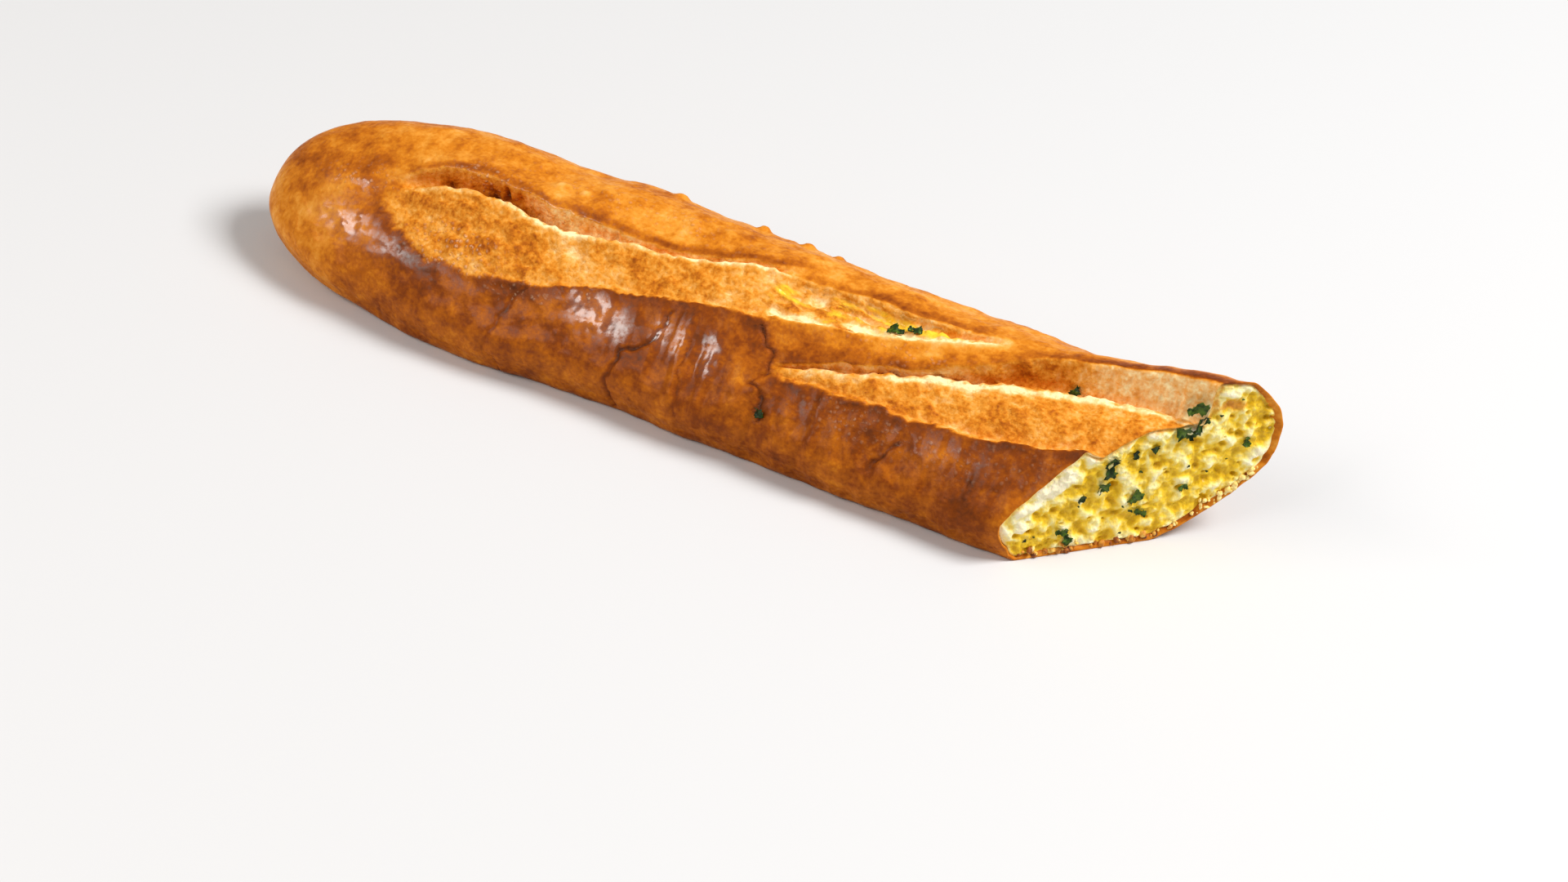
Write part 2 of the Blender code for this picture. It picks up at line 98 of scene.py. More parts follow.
# The slashes. Lines on the skin: where the crust stops (edge), the top of the dough that swelled out (crest)
# and the ear of crust over the groove (lip). Heights above the plain skin: beside the edge (dough), on the
# crest (top), in the groove (floor) and on the ear. Then how soft the edge is, how brown the dough (bake), the
# band of crust below the edge, the groove's wall and the ear's rim are, and how pale the crest is (cream). The
# groove's wall is drawn paler than its bake in places: painted light where the lamps leave it in shade.
SLASHES = (
    {
        "opens": (-125, 22), "ramp": 14,
        "edge": ((-125, 47), (-110, 37.5), (-65, 37), (-38, 43.5), (22, 55)),
        "crest": ((-125, 49), (-114, 53), (-103, 56.8), (-85, 59), (-55, 56.3), (-35, 59.5), (22, 74)),
        "lip": (
            (-125, 54), (-108, 65), (-92, 68.5), (-78, 68), (-68, 66),
            (-50, 65), (-38, 64), (-10, 69), (22, 79),
        ),
        "dough": ((-125, 0.2), (-80, 0.3), (22, -0.4)),
        "top": ((-125, 0.5), (-85, 2.4), (-50, 2), (22, 0)),
        "floor": ((-125, -2), (-95, -7), (-65, -7), (-45, -3), (22, -1.5)),
        "ear": ((-125, 0.5), (-75, 2.2), (-40, 1.2), (22, 0.6)),
        "ear_width": ((-125, 9), (22, 7)),
        "softness": ((-125, 6), (-88, 4), (-62, 1.2), (22, 1.2)),
        "bake": 0.43, "band": 0.14, "band_reach": 7,
        "cream_shift": 0.0, "cream_width": 1.1, "ear_reach": 1.2,
        "wall": (
            (-125, 0.36), (-112, 0.42), (-100, 0.44), (-84, 0.40),
            (-72, 0.28), (-62, 0.18), (-45, 0.22), (22, 0.34),
        ),
        "cream": (
            (-125, 0.3), (-100, 0.5), (-86, 0.35), (-72, 0.95), (-57, 0.9),
            (-42, 0.6), (-22, 0.95), (5, 0.8), (22, 0.4),
        ),
        "ear_brown": ((-125, 0.05), (-110, 0.18), (-75, 0.22), (-50, 0.22), (0, 0.24), (22, 0.08)),
    },
    {
        "opens": (4, 90), "ramp": 12,
        "edge": ((4, 53), (43, 61), (62, 66), (90, 78)),
        "crest": ((4, 56), (43, 64.5), (62, 69), (90, 78.6)),
        "lip": ((4, 71), (36, 76), (60, 77.5), (90, 80.5)),
        "dough": ((4, -1.4), (45, -2.4), (90, -0.8)),
        "top": ((4, -1.2), (40, -2.2), (90, -0.8)),
        "floor": ((4, -1.5), (40, -3.4), (70, -2.8), (90, -1)),
        "ear": ((4, 0.3), (40, 0), (90, 0.2)),
        "ear_width": ((4, 7), (90, 5)),
        "softness": ((4, 2.5), (30, 1.2), (90, 1.2)),
        "bake": 0.26, "band": 0.02, "band_reach": 3,
        "cream_shift": -1.6, "cream_width": 1.9, "ear_reach": 1.5,
        "wall": ((4, 0.42), (30, 0.38), (50, 0.32), (90, 0.30)),
        "cream": ((4, 0.4), (25, 0.75), (90, 1.0)),
        "ear_brown": ((4, 0.12), (60, 0.18), (90, 0.14)),
    },
    {
        "opens": (20, 400), "ramp": 8,
        "edge": ((20, 37.5), (81, 41), (104, 43.5), (128, 48.5), (160, 51)),
        "crest": ((20, 38.5), (45, 46.5), (65, 54), (86, 60.5), (109, 68), (142, 73.5), (160, 74)),
        "lip": ((20, 41), (38, 48.8), (63, 57), (76, 63), (87, 69.5), (98, 77), (115, 81), (160, 82.5)),
        "dough": ((20, 0), (65, -1.4), (110, -3.4), (160, -4.6)),
        "top": ((20, 0.4), (65, -1.4), (109, -4), (142, -6.4), (160, -6.8)),
        "floor": ((20, -2), (60, -5), (95, -9), (125, -9.5), (150, -7.2), (160, -7.2)),
        "ear": ((20, 0.8), (80, 0.8), (98, 0.6), (115, 1.6), (140, 5.2), (160, 7.6)),
        "ear_width": ((20, 8), (90, 7), (118, 20), (160, 22)),
        "softness": ((20, 3), (60, 1.4), (160, 1)),
        "bake": 0.44, "band": 0.14, "band_reach": 10,
        "cream_shift": -0.7, "cream_width": 1.5, "ear_reach": 2.1,
        "wall": ((20, 0.40), (60, 0.32), (80, 0.36), (90, 0.50), (103, 0.44), (117, 0.22), (160, 0.18)),
        "cream": ((20, 0.3), (45, 0.7), (70, 0.9), (160, 0.95)),
        "ear_brown": ((20, 0.10), (80, 0.16), (98, 0.16), (112, 0.32), (160, 0.38)),
    },
)
MIDDLE_SLASH = 1

# Across a slash: the crust swells to a rim, steps down to the dough, and the lip leans over the groove, whose
# foot lies at a share of the way from crest to lip. An edge of SOFT_EDGE has no rim and no step. The lines
# wander as torn dough does, in (share, length) waves.
EDGE_SWELLS_OVER = 4
EDGE_RIM = 0.4
EDGE_STEP = 0.5
EDGE_STEPS_OVER = 1.4
SHARP_EDGE = 2
SOFT_EDGE = 5
FOOT_SHARE = 0.45
LIP_OVERHANG = 1.6
LIP_LEANS_OVER = 3.5
TEAR = 0.4
TEAR_WAVES = (1, 17)
TEAR_JAGS = (0.35, 5.5)

# Cracks and creases in the near flank: how deep they are, and a line of places on the skin.
CRACKS = (
    (0.4, ((-111, 6), (-112, 26), (-107, 36))),
    (0.5, ((-66, 4), (-70, 17), (-68, 27), (-62, 36.5))),
    (1.0, ((-25, 6), (-29, 17), (-26, 27), (-20, 31), (-15, 43))),
    (0.5, ((-3, 14), (-5, 26), (-6, 38))),
    (0.9, ((13, 50.5), (19, 45), (22, 38), (17, 33), (23, 30), (24, 22))),
    (0.8, ((62, 20), (68, 31))),
)
CRACK_HALF_WIDTH = 1.0
CRACK_WANDER = 0.7
CRACK_WAVES = (7, 6)


def ease(t):
    """A smooth step from 0 to 1 as t goes from 0 to 1."""
    t = np.clip(t, 0.0, 1.0)
    return t * t * (3 - 2 * t)


def run(places, x):
    """A smooth curve through a few (along, value) places in millimetres, read at x in metres."""
    along, value = np.array(places, float).T
    slope = np.gradient(value, along)
    x = np.clip(x / MM, along[0], along[-1])
    i = np.clip(np.searchsorted(along, x) - 1, 0, len(along) - 2)
    gap = along[i + 1] - along[i]
    t = (x - along[i]) / gap
    start = value[i] * (1 + 2 * t) * (1 - t) ** 2 + value[i + 1] * t ** 2 * (3 - 2 * t)
    return start + gap * t * (1 - t) * (slope[i] * (1 - t) - slope[i + 1] * t)


class Outline:
    """A closed smooth curve through a few points, read by its length in millimetres from the first."""

    def __init__(self, points, samples=64):
        knots = np.array(points, float) * MM
        before, after, beyond = (np.roll(knots, step, axis=0) for step in (1, -1, -2))
        t = np.linspace(0, 1, samples, endpoint=False)[None, :, None]
        a, b, c, d = (row[:, None, :] for row in (before, knots, after, beyond))
        curve = 2 * b + (c - a) * t + (2 * a - 5 * b + 4 * c - d) * t ** 2
        curve = 0.5 * (curve + (3 * b - a - 3 * c + d) * t ** 3).reshape(-1, 2)
        self.curve = np.vstack([curve, curve[:1]])
        steps = np.linalg.norm(np.diff(self.curve, axis=0), axis=1)
        self.length = np.concatenate([[0], np.cumsum(steps)]) / MM
        self.girth = self.length[-1]

    def at(self, s):
        s = np.mod(s, self.girth)
        return np.stack([np.interp(s, self.length, self.curve[:, i]) for i in (0, 1)], axis=-1)

    def along(self, s, reach=1.0):
        way = self.at(s + reach) - self.at(s - reach)
        return way / np.linalg.norm(way, axis=-1, keepdims=True)


LOAF = Outline(SECTION)


def lumps(x, s, size, seed, waves=7):
    """Soft unevenness between about -1 and 1: a few crossed waves of about one size in millimetres."""
    draw = np.random.default_rng(seed)
    total = 0.0
    for _ in range(waves):
        way = draw.uniform(0, 2 * math.pi)
        pitch = size * draw.uniform(0.7, 1.5)
        start = draw.uniform(0, 2 * math.pi)
        total = total + np.sin(2 * math.pi * (x / MM * math.cos(way) + s * math.sin(way)) / pitch + start)
    return total / math.sqrt(waves)


def rough(points, size, seed, octaves=2):
    """Rough unevenness between about -1 and 1, of one size in millimetres or one for each axis."""
    scaled = points / (np.array(size) * MM) + seed * np.array((17.3, 5.1, 9.7))
    values = [noise.fractal(point, 1.0, 2.0, octaves) for point in scaled.reshape(-1, 3)]
    return np.array(values).reshape(points.shape[:-1])


def profile(s, places, heights):
    """A smooth line across a slash, through each height at its place round the section."""
    total = np.zeros_like(s)
    for a, b, low, high in zip(places, places[1:], heights, heights[1:]):
        total = np.where((s >= a) & (s < b), low + (high - low) * ease((s - a) / (b - a)), total)
    return total


def slash_lines(number, x):
    """How far a slash has opened at x, and its edge, crest and lip, which wander as torn dough does."""
    slash = SLASHES[number]
    start, end = slash["opens"]
    opened = ease((x / MM - start) / slash["ramp"]) * ease((end - x / MM) / slash["ramp"])
    lines = []
    for order, line in enumerate(("edge", "crest", "lip")):
        wander = TEAR_WAVES[0] * lumps(x, 0 * x, TEAR_WAVES[1], SEED + 20 + 3 * number + order)
        jags = lumps(x, 0 * x, TEAR_JAGS[1], SEED + 40 + 3 * number + order, waves=11)
        wander = wander + TEAR_JAGS[0] * jags
        lines.append(run(slash[line], x) + TEAR * wander)
    return opened, *lines


def slash_relief(number, x, s):
    """How far one slash lifts the skin, and how far its lip leans out over the groove."""
    slash = SLASHES[number]
    opened, edge, crest, lip = slash_lines(number, x)
    dough, top, floor, ear, ear_width = (
        run(slash[line], x) for line in ("dough", "top", "floor", "ear", "ear_width"))
    foot = crest + FOOT_SHARE * (lip - crest)
    sharp = ease((SOFT_EDGE - run(slash["softness"], x)) / (SOFT_EDGE - SHARP_EDGE))
    before, after = edge - EDGE_SWELLS_OVER, edge + EDGE_STEPS_OVER
    places = (before, edge, after, 0.5 * (edge + crest), crest, foot, lip, lip + ear_width)
    heights = (0 * x, sharp * EDGE_RIM, dough - sharp * EDGE_STEP, dough, top, floor, ear, 0 * x)
    lean = LIP_OVERHANG * ease(1 - np.abs(s - lip) / LIP_LEANS_OVER)
    return opened * profile(s, places, heights), opened * lean


def crack_mark(x, s):
    """How deep in a crack each place lies, in millimetres."""
    along = x / MM + CRACK_WANDER * lumps(x, s, CRACK_WAVES[0], SEED + 70)
    around = s + CRACK_WANDER * lumps(x, s, CRACK_WAVES[1], SEED + 71)
    deep = np.zeros_like(s)
    for depth, line in CRACKS:
        for (x0, s0), (x1, s1) in zip(line, line[1:]):
            dx, ds = x1 - x0, s1 - s0
            t = np.clip(((along - x0) * dx + (around - s0) * ds) / (dx * dx + ds * ds), 0, 1)
            away = np.hypot(along - x0 - t * dx, around - s0 - t * ds)
            deep = np.maximum(deep, depth * ease(1 - away / CRACK_HALF_WIDTH))
    return deep


def skin(x, s):
    """The loaf's skin: across and up, in metres, at x along the loaf and s round the section."""
    t = np.clip((ROUND_END_X + END_REACH - x) / END_REACH, 0.0, 1.0)
    scale = (1 - t ** END_BLUNTNESS) ** (1 / END_BLUNTNESS)
    height = SWELLS[0] * lumps(x, s, SWELLS[1], SEED) + RIPPLES[0] * lumps(x, s, RIPPLES[1], SEED + 1)
    height = height - crack_mark(x, s)
    lean = np.zeros_like(s)
    for number in range(len(SLASHES)):
        lift, over = slash_relief(number, x, s)
        height = height + lift
        lean = lean + over
    height = height * ease(s / BASE_FADE) * ease((LOAF.girth - s) / BASE_FADE)
    way = LOAF.along(s)
    outward = np.stack([-way[..., 1], way[..., 0]], axis=-1)
    fade = np.minimum(scale, 1)[..., None]
    place = LOAF.at(s) + MM * fade * (height[..., None] * outward - lean[..., None] * way)
    place = SECTION_CENTRE + fade * (place - SECTION_CENTRE) + (1 - fade) * END_DRIFT
    across = place[..., 0] + MM * run(SWAY, x)
    up = place[..., 1] * (1 + run(RISE, x) / CROWN_HEIGHT)
    return np.stack([across, np.maximum(up, 0.0)], axis=-1)


def cut_x(across, up):
    """Where the bias cut lies along the loaf."""
    return CUT_NEAR_X + (across - CUT_NEAR_Y) / math.tan(CUT_BIAS) - CUT_LEAN * up


# The net of squares that is laid over the loaf: about 0.75 mm wide on the crown, wider under the base, and on
# the round end's tip plain round the section, without heed to its relief.
END_ROWS = 88
BODY_ROWS = 310
COLUMNS = 212
BASE_START = 124.0
BASE_BLEND = 4
BASE_DENSITY = 0.35
TIP_SHARE = 0.02
TIP_BLEND = 0.08
SAMPLES_ROUND = 900
LEAST_STEP = 0.001 * MM
CUT_PASSES = 3


def laid(u, s):
    """Points on the skin, u from 0 at the round end to 1 at the cut and s round the section."""
    u, s = np.broadcast_arrays(u, s)
    x = ROUND_END_X + u * (CUT_NEAR_X - ROUND_END_X)
    for _ in range(CUT_PASSES):
        place = skin(x, s)
        x = ROUND_END_X + u * (cut_x(place[..., 0], place[..., 1]) - ROUND_END_X)
    return np.concatenate([x[..., None], place], axis=-1)


def rows_along():
    """How far along each row lies: close together where the end rounds off."""
    length = 0.5 * (CUT_NEAR_X + cut_x(LOAF.curve[:, 0].max(), 0)) - ROUND_END_X
    turn = np.linspace(0, math.pi / 2, END_ROWS, endpoint=False)
    rounded = END_REACH * (1 - np.cos(turn) ** (2 / END_BLUNTNESS))
    return np.concatenate([rounded, np.linspace(END_REACH, length, BODY_ROWS)]) / length


def columns_round(u):
    """Where each column runs round the section, spread evenly over slashes and plain skin alike."""
    dense = np.linspace(0, LOAF.girth, SAMPLES_ROUND)
    place = laid(u[:, None], dense[None, :])
    weight = 1 - (1 - BASE_DENSITY) * ease((dense[1:] - BASE_START) / BASE_BLEND)
    steps = np.linalg.norm(np.diff(place, axis=1), axis=-1) * weight
    steps = steps + LEAST_STEP * weight
    length = np.concatenate([np.zeros((len(u), 1)), np.cumsum(steps, axis=1)], axis=1)
    even = np.array([np.interp(np.linspace(0, row[-1], COLUMNS), row, dense) for row in length])
    spread = np.concatenate([[0], np.cumsum(weight)]) / weight.sum()
    plain = np.interp(np.linspace(0, 1, COLUMNS), spread, dense)
    share = ease((u[:, None] - TIP_SHARE) / TIP_BLEND)
    return share * even + (1 - share) * plain


u = rows_along()
s = columns_round(u)
net = laid(u[:, None], s)
x = net[..., 0]
centred = -0.5 * (net[..., :2].reshape(-1, 2).min(axis=0) + net[..., :2].reshape(-1, 2).max(axis=0))
CENTRED = Vector((*centred, 0))

# What each place on the skin is: torn dough in an opening, its cream crest, the wall of the groove behind it
# and how that is baked, paler in places as painted light where the wall lies in shade, the darker band of
# crust below an opening, and the ear whose rim caught the heat. An opening's edge frays, and the more so the
# softer it is. Dough tears in strings across a groove, and in long layers on the far wall of the middle slash,
# where the butter ran. Sizes and distances are in millimetres.
FRAY_SIZE = 3.4
FRAY = 0.4
SOFT_FRAY = 0.35
STRING_SIZE = (1.8, 7, 5)
LAYER_SIZE = (11, 1.7, 5)
HALF_BAKED = 0.4
LIP_EDGE = 0.9
WALL_START = 0.3
WALL_EDGES = (1.2, 0.8)
CREAM_FRAY = 0.6
CREAM_UNEVEN = 0.8
BAND_START = 0.6
RIM_HEAT_AT = 0.9
RIM_HEAT_UNEVEN = 0.4
LAYERS_START = 2.5
LAYERS_END = (1, 3)

unrolled = np.stack([x, s * MM, 0 * s], axis=-1)
fray = rough(unrolled, FRAY_SIZE, 31, 3)
strings = rough(unrolled, STRING_SIZE, 32, 3)
layers = rough(unrolled, LAYER_SIZE, 34, 3)
dough, cream, wall, band, ear = (np.zeros_like(s) for _ in range(5))
wall_bake_and_painted_light, dough_bake = (np.full_like(s, HALF_BAKED) for _ in range(2))
for number, slash in enumerate(SLASHES):
    opened, edge, crest, lip = slash_lines(number, x)
    soft = run(slash["softness"], x)
    frayed = edge + (FRAY + SOFT_FRAY * soft) * fray
    inside = opened * ease((s - frayed + 0.5 * soft) / soft) * ease((lip + 0.5 * fray - s) / LIP_EDGE)
    past_crest = ease((s - crest - WALL_START + 0.5 * fray) / WALL_EDGES[0])
    behind = opened * past_crest * ease((lip - s) / WALL_EDGES[1])
    pale_at = crest + slash["cream_shift"] + CREAM_FRAY * fray
    pale_width = slash["cream_width"] * (1 + CREAM_UNEVEN * fray)
    pale = opened * run(slash["cream"], x) * np.exp(-((s - pale_at) / pale_width) ** 2)
    below = np.where(s < edge + BAND_START, np.exp(-np.maximum(edge - s, 0) / slash["band_reach"]), 0)
    heat_width = slash["ear_reach"] * (1 + RIM_HEAT_UNEVEN * fray)
    rim_heat = np.exp(-((s - lip - RIM_HEAT_AT) / heat_width) ** 2)
    dough_bake = np.where(inside > dough, slash["bake"], dough_bake)
    wall_bake_and_painted_light = np.where(behind > wall, run(slash["wall"], x), wall_bake_and_painted_light)
    dough = np.maximum(dough, inside)
    wall = np.maximum(wall, behind)
    cream = np.maximum(cream, pale)
    band = np.maximum(band, opened * slash["band"] * below)
    ear = np.maximum(ear, opened * run(slash["ear_brown"], x) * rim_heat)
crack = crack_mark(x, s)
crust_share = 1 - dough
opened, edge, crest, lip = slash_lines(MIDDLE_SLASH, x)
in_middle = opened * ease((s - edge) / LAYERS_START) * ease((lip - LAYERS_END[0] - s) / LAYERS_END[1])


def patched(places):
    """The sum of soft patches on the skin, each (along, round, reach along, reach round, how much)."""
    total = np.zeros_like(s)
    for along, around, reach_x, reach_s, much in places:
        total = total + much * np.exp(-((x / MM - along) / reach_x) ** 2 - ((s - around) / reach_s) ** 2)
    return total


# Fine relief, in millimetres: a grain on the crust, round blisters, creases down the flank, ripples in the
# glossy butter (fewer by the round end) and a torn grain on the dough. It fades where the loaf is pressed on
# its base, at the tip of the round end and, in part, at the cut.
BLISTERS = 620
BLISTERS_ALONG = (-150, 150)
BLISTERS_ROUND = (8, 112)
BLISTER_RADIUS = (0.7, 1.7)
BLISTER_HEIGHT = 0.30
LARGE_BLISTERS = (
    (-68.6, 73.8, 3.0, 0.9), (-60.3, 73.1, 1.7, 0.6), (-55, 77, 1.3, 0.5), (-37, 96.5, 2.8, 1.3),
    (-7, 96.5, 2.4, 1.5), (9, 96.5, 2.6, 1.5), (20, 96.5, 2.2, 1.2), (-44, 79, 1.6, 0.5),
    (-80, 80, 2.4, 0.6), (-120, 46, 2.6, 0.5), (-24, 77, 2.6, 0.7), (-12, 79, 1.8, 0.6),
)
CRATERS = (
    (-53, 52, 4.2, 0.8), (-104, 61.5, 1.6, 1.4), (-89, 64, 2.0, 1.6), (-84, 66, 1.5, 1.4),
    (-79, 66, 1.3, 1.0),
)
CREASED = (
    (-8, 33, 16, 14, 1.0), (-38, 30, 10, 12, 0.35), (-128, 36, 18, 12, 0.2), (30, 24, 30, 20, 0.9),
    (90, 24, 35, 20, 0.8),
)
GLOSSY = (
    (-38, 35, 9, 4.5, 1.3), (-42, 38.5, 6, 2.5, 0.9), (-30, 31.5, 4, 3, 0.6), (-16, 37, 2.6, 4.5, 1.0),
    (-9, 37, 2.6, 5, 1.0), (1, 37.5, 3.2, 4.5, 1.0), (2, 31, 3.5, 2.5, 0.7), (-137, 34.5, 8, 5, 0.55),
    (-126, 35, 7, 5.5, 0.6), (-113, 32, 8, 4, 0.45), (-141, 49, 6, 4, 0.4), (-129, 50.5, 5, 3.5, 0.4),
    (84, 34, 26, 5, 0.22), (-97, 33, 18, 5, 0.15), (38, 30, 14, 9, 0.12), (-92, 66, 18, 3, 0.6),
    (-60, 64, 14, 3, 0.5), (-60, 22, 70, 18, 0.08),
)
MOST_GLOSS = 1.2
GRAIN = (0.10, 2.4)
CREASE_SIZE = (5.0, 26, 9)
CREASE_HEIGHT = 1.5
GLOSS_RIPPLES = (0.05, 1.8)
MORE_RIPPLES = 0.06
MORE_RIPPLES_FROM = -108
MORE_RIPPLES_OVER = 20
TORN = (0.65, 3.2)
TORN_GRAIN = (0.25, 1.7)
STRING_HEIGHT = 0.75
LAYER_HEIGHT = 1.5
BASE_CLEAR = 2.5 * MM
TIP_CLEAR = 0.05
CUT_CLEAR = 0.006
LEFT_AT_CUT = 0.3


def rounds(places):
    """How far each place is lifted by round spots, each (along, round, radius, height)."""
    raised = np.zeros_like(s)
    for along, around, radius, height in places:
        raised = np.maximum(raised, height * ease(1.25 - np.hypot(x / MM - along, s - around) / radius))
    return raised


def small_blisters():
    """Round blisters of many sizes all over the crust."""
    draw = np.random.default_rng(SEED + 3)
    for _ in range(BLISTERS):
        along, around = draw.uniform(*BLISTERS_ALONG), draw.uniform(*BLISTERS_ROUND)
        radius = draw.uniform(*BLISTER_RADIUS)
        yield along, around, radius, BLISTER_HEIGHT * draw.uniform(0.4, 1) * radius / BLISTER_RADIUS[1]


blister = rounds((*small_blisters(), *LARGE_BLISTERS)) * crust_share
crater = rounds(CRATERS)
crease = rough(unrolled, CREASE_SIZE, 2) * patched(CREASED) * crust_share
torn = rough(net, TORN[1], 3, 3)
gloss = np.clip(patched(GLOSSY), 0, MOST_GLOSS) * crust_share
rippled = GLOSS_RIPPLES[0] + MORE_RIPPLES * ease((x / MM - MORE_RIPPLES_FROM) / MORE_RIPPLES_OVER)
fine = blister - crater * dough + GRAIN[0] * rough(net, GRAIN[1], 1) * crust_share + CREASE_HEIGHT * crease
fine = fine + rippled * gloss * rough(net, GLOSS_RIPPLES[1], 5)
fine = fine + (TORN[0] * torn + TORN_GRAIN[0] * rough(net, TORN_GRAIN[1], 4)) * dough
fine = fine + STRING_HEIGHT * strings * wall + LAYER_HEIGHT * layers * in_middle
along_row, along_column = np.gradient(net, axis=0), np.gradient(net, axis=1)
normal = np.cross(along_row, along_column)
normal = normal / np.maximum(np.linalg.norm(normal, axis=-1, keepdims=True), 1e-12)
lifted = ease(net[..., 2] / BASE_CLEAR)
before_cut = LEFT_AT_CUT + (1 - LEFT_AT_CUT) * ease((1 - u[:, None]) / CUT_CLEAR)
net = net + normal * (MM * fine * lifted * before_cut * ease(u[:, None] / TIP_CLEAR))[..., None]

# How brown each place is, from 0 for cream dough to 1 for scorched crust, where butter soaked in, and where
# tiny bubbles speckle the crust, each with a pale dot that is partly its paler skin and partly a painted
# glint.
# The plain crust is as brown as its flank, and SHADED says where it is browner: how much, and the places round
# the section and along the loaf where that sets in, each with the distance over which it does, below 0 where
# it sets in backwards. TOASTED adds single patches.
FLANK_BROWN = 0.715
ALL_ALONG = (-200, 1)
SHADED = (
    (-0.225, (52, 14), ALL_ALONG),
    (0.01, (52, -16), (45, 40)),
    (-0.03, (17, -14), ALL_ALONG),
    (-0.21, (62, -14), (-110, -28)),
    (-0.32, (5.5, -4), (-130, -18)),
)
TOASTED = (
    (-112, 52, 9, 5, 0.13), (-94, 50, 12, 5, 0.10), (-78, 45, 10, 4, 0.16), (-66, 51, 7, 4, 0.08),
    (-56, 53, 4, 4, -0.22), (-49, 50, 3, 3, -0.18), (-40, 57, 8, 3, 0.08), (-128, 55, 14, 6, 0.02),
    (-100, 75, 20, 6, 0.08), (60, 48, 14, 4, 0.05), (96, 52, 10, 5, 0.10), (112, 60, 8, 4, 0.08),
    (122, 55, 9, 4, 0.07), (-116, 45, 5, 4, -0.16), (-122, 58, 7, 3, -0.16), (-150, 66, 22, 18, 0.09),
    (-20, 62, 12, 5, 0.02), (10, 66, 10, 5, -0.06), (55, 58, 38, 6, -0.09), (-84, 63, 9, 1.6, 0.2),
    (-95, 42, 12, 3, 0.10), (34, 62, 5, 2.5, 0.22), (18, 61, 4, 2.5, 0.14), (-69, 73.8, 2.6, 2.4, -0.28),
    (-60, 73, 1.6, 1.6, -0.26), (-24, 77, 2.4, 2, -0.16), (-104, 61.5, 1.8, 1.8, 0.30),
    (-89, 64, 2.2, 1.8, 0.34), (-84, 66, 1.8, 1.6, 0.30), (-79, 66, 1.5, 1.4, 0.20),
)
# Where tiny bubbles speckle the crust, and with them their painted glints.
GLINTING_BUBBLES = (
    (-90, 43, 13, 4.5, 1.2), (-92, 35.5, 14, 3, 1.0), (-66, 62, 16, 3, 0.8), (-64, 34, 9, 4, 0.8),
    (-43, 38.5, 6, 3, 0.8), (-91, 67.5, 10, 3, 1.0), (-133, 52, 11, 6, 0.7), (84, 34, 26, 7, 0.3),
    (116, 38, 16, 6, 0.2), (50, 33, 14, 6, 0.4), (-40, 76, 40, 7, 0.4), (60, 60, 30, 5, 0.3),
)
TORN_BROWN = 0.07
STRING_BROWN = 0.08
CREST_PALER = 0.42
# How much darker a crack is drawn by its depth: painted shade in its hollow.
CRACK_PAINTED_SHADE = 0.20
LAYER_BROWN = 0.34
SOAKED_SHARE = 0.20
SOAKED_BLOTS = (0.8, (9, 4, 5))
SOAKED_LAYERS = 0.5
SOAKED_END = (2, 4)
SOAKED_SPOTS = ((56, 70.5, 13, 2.4, 0.8),)
DRY_CREST = 0.9

brown = np.full_like(s, FLANK_BROWN)
for much, (around, over_s), (along, over_x) in SHADED:
    brown = brown + much * ease((s - around) / over_s) * ease((x / MM - along) / over_x)
brown = brown + band + ear
brown = brown + (dough_bake + TORN_BROWN * torn - brown) * dough
# On a groove's wall the tone is its bake, drawn paler in places: painted light on a wall in shade.
brown = brown + (wall_bake_and_painted_light + STRING_BROWN * strings - brown) * wall
# Cracks are drawn darker by their depth: painted shade in their hollows.
brown = brown - CREST_PALER * cream + patched(TOASTED) + CRACK_PAINTED_SHADE * crack
brown = brown + LAYER_BROWN * layers * in_middle
butter = SOAKED_SHARE + SOAKED_BLOTS[0] * rough(unrolled, SOAKED_BLOTS[1], 33, 3) + SOAKED_LAYERS * layers
butter = in_middle * butter * ease((lip - SOAKED_END[0] - s) / SOAKED_END[1])
butter = butter + in_middle * patched(SOAKED_SPOTS)
butter = np.clip(butter - DRY_CREST * cream, 0, 1)
speckle = np.clip(patched(GLINTING_BUBBLES), 0, 1)

# The rim at the cut: the crust's own thickness, thin on the near flank and thick and ragged at the back and
# under the loaf, and then the hollow that the crumb fills. Each step is (share of the thickness, depth), and
# the lines give millimetres, or how much paler than the skin, by the place round the section.
CRUMB_CENTRE = np.array((33 * MM, 20 * MM))
CRUMB_SPINE = np.array(((12 * MM, 14 * MM), (52 * MM, 22 * MM)))
RIM_STEPS = ((0.12, -0.12), (0.34, -0.06), (0.58, 0.12), (0.82, 0.55), (0.96, 1.5), (1.0, 3.2))
HOLLOW_STEPS = (0.35, 0.7)
RIM_THICKNESS = (
    (0, 1.6), (12, 1.2), (24, 0.9), (50, 1.0), (80, 1.2), (90, 1.5), (112, 1.7), (128, 1.8), (175, 1.7),
)
RIM_RAGGED = ((0, 0.3), (30, 0.15), (80, 0.2), (112, 0.3), (124, 0.6), (160, 0.6), (175, 0.4))
RIM_PALER = (
    (0, 0.10), (20, 0.26), (70, 0.20), (86, -0.02), (112, -0.02), (124, -0.14), (160, -0.22), (175, -0.05),
)
RAG_SIZE = 2.6
PROUD = (0.35, 1.6)
PROUD_TO = 0.3
PALER_BLOTS = (0.5, 2.2)
PALER_AT = 1.6


def rough_round(s, *size_and_seed):
    """Unevenness that runs round the rim."""
    return rough(np.column_stack([s * MM, 0 * s, 0 * s]), *size_and_seed)


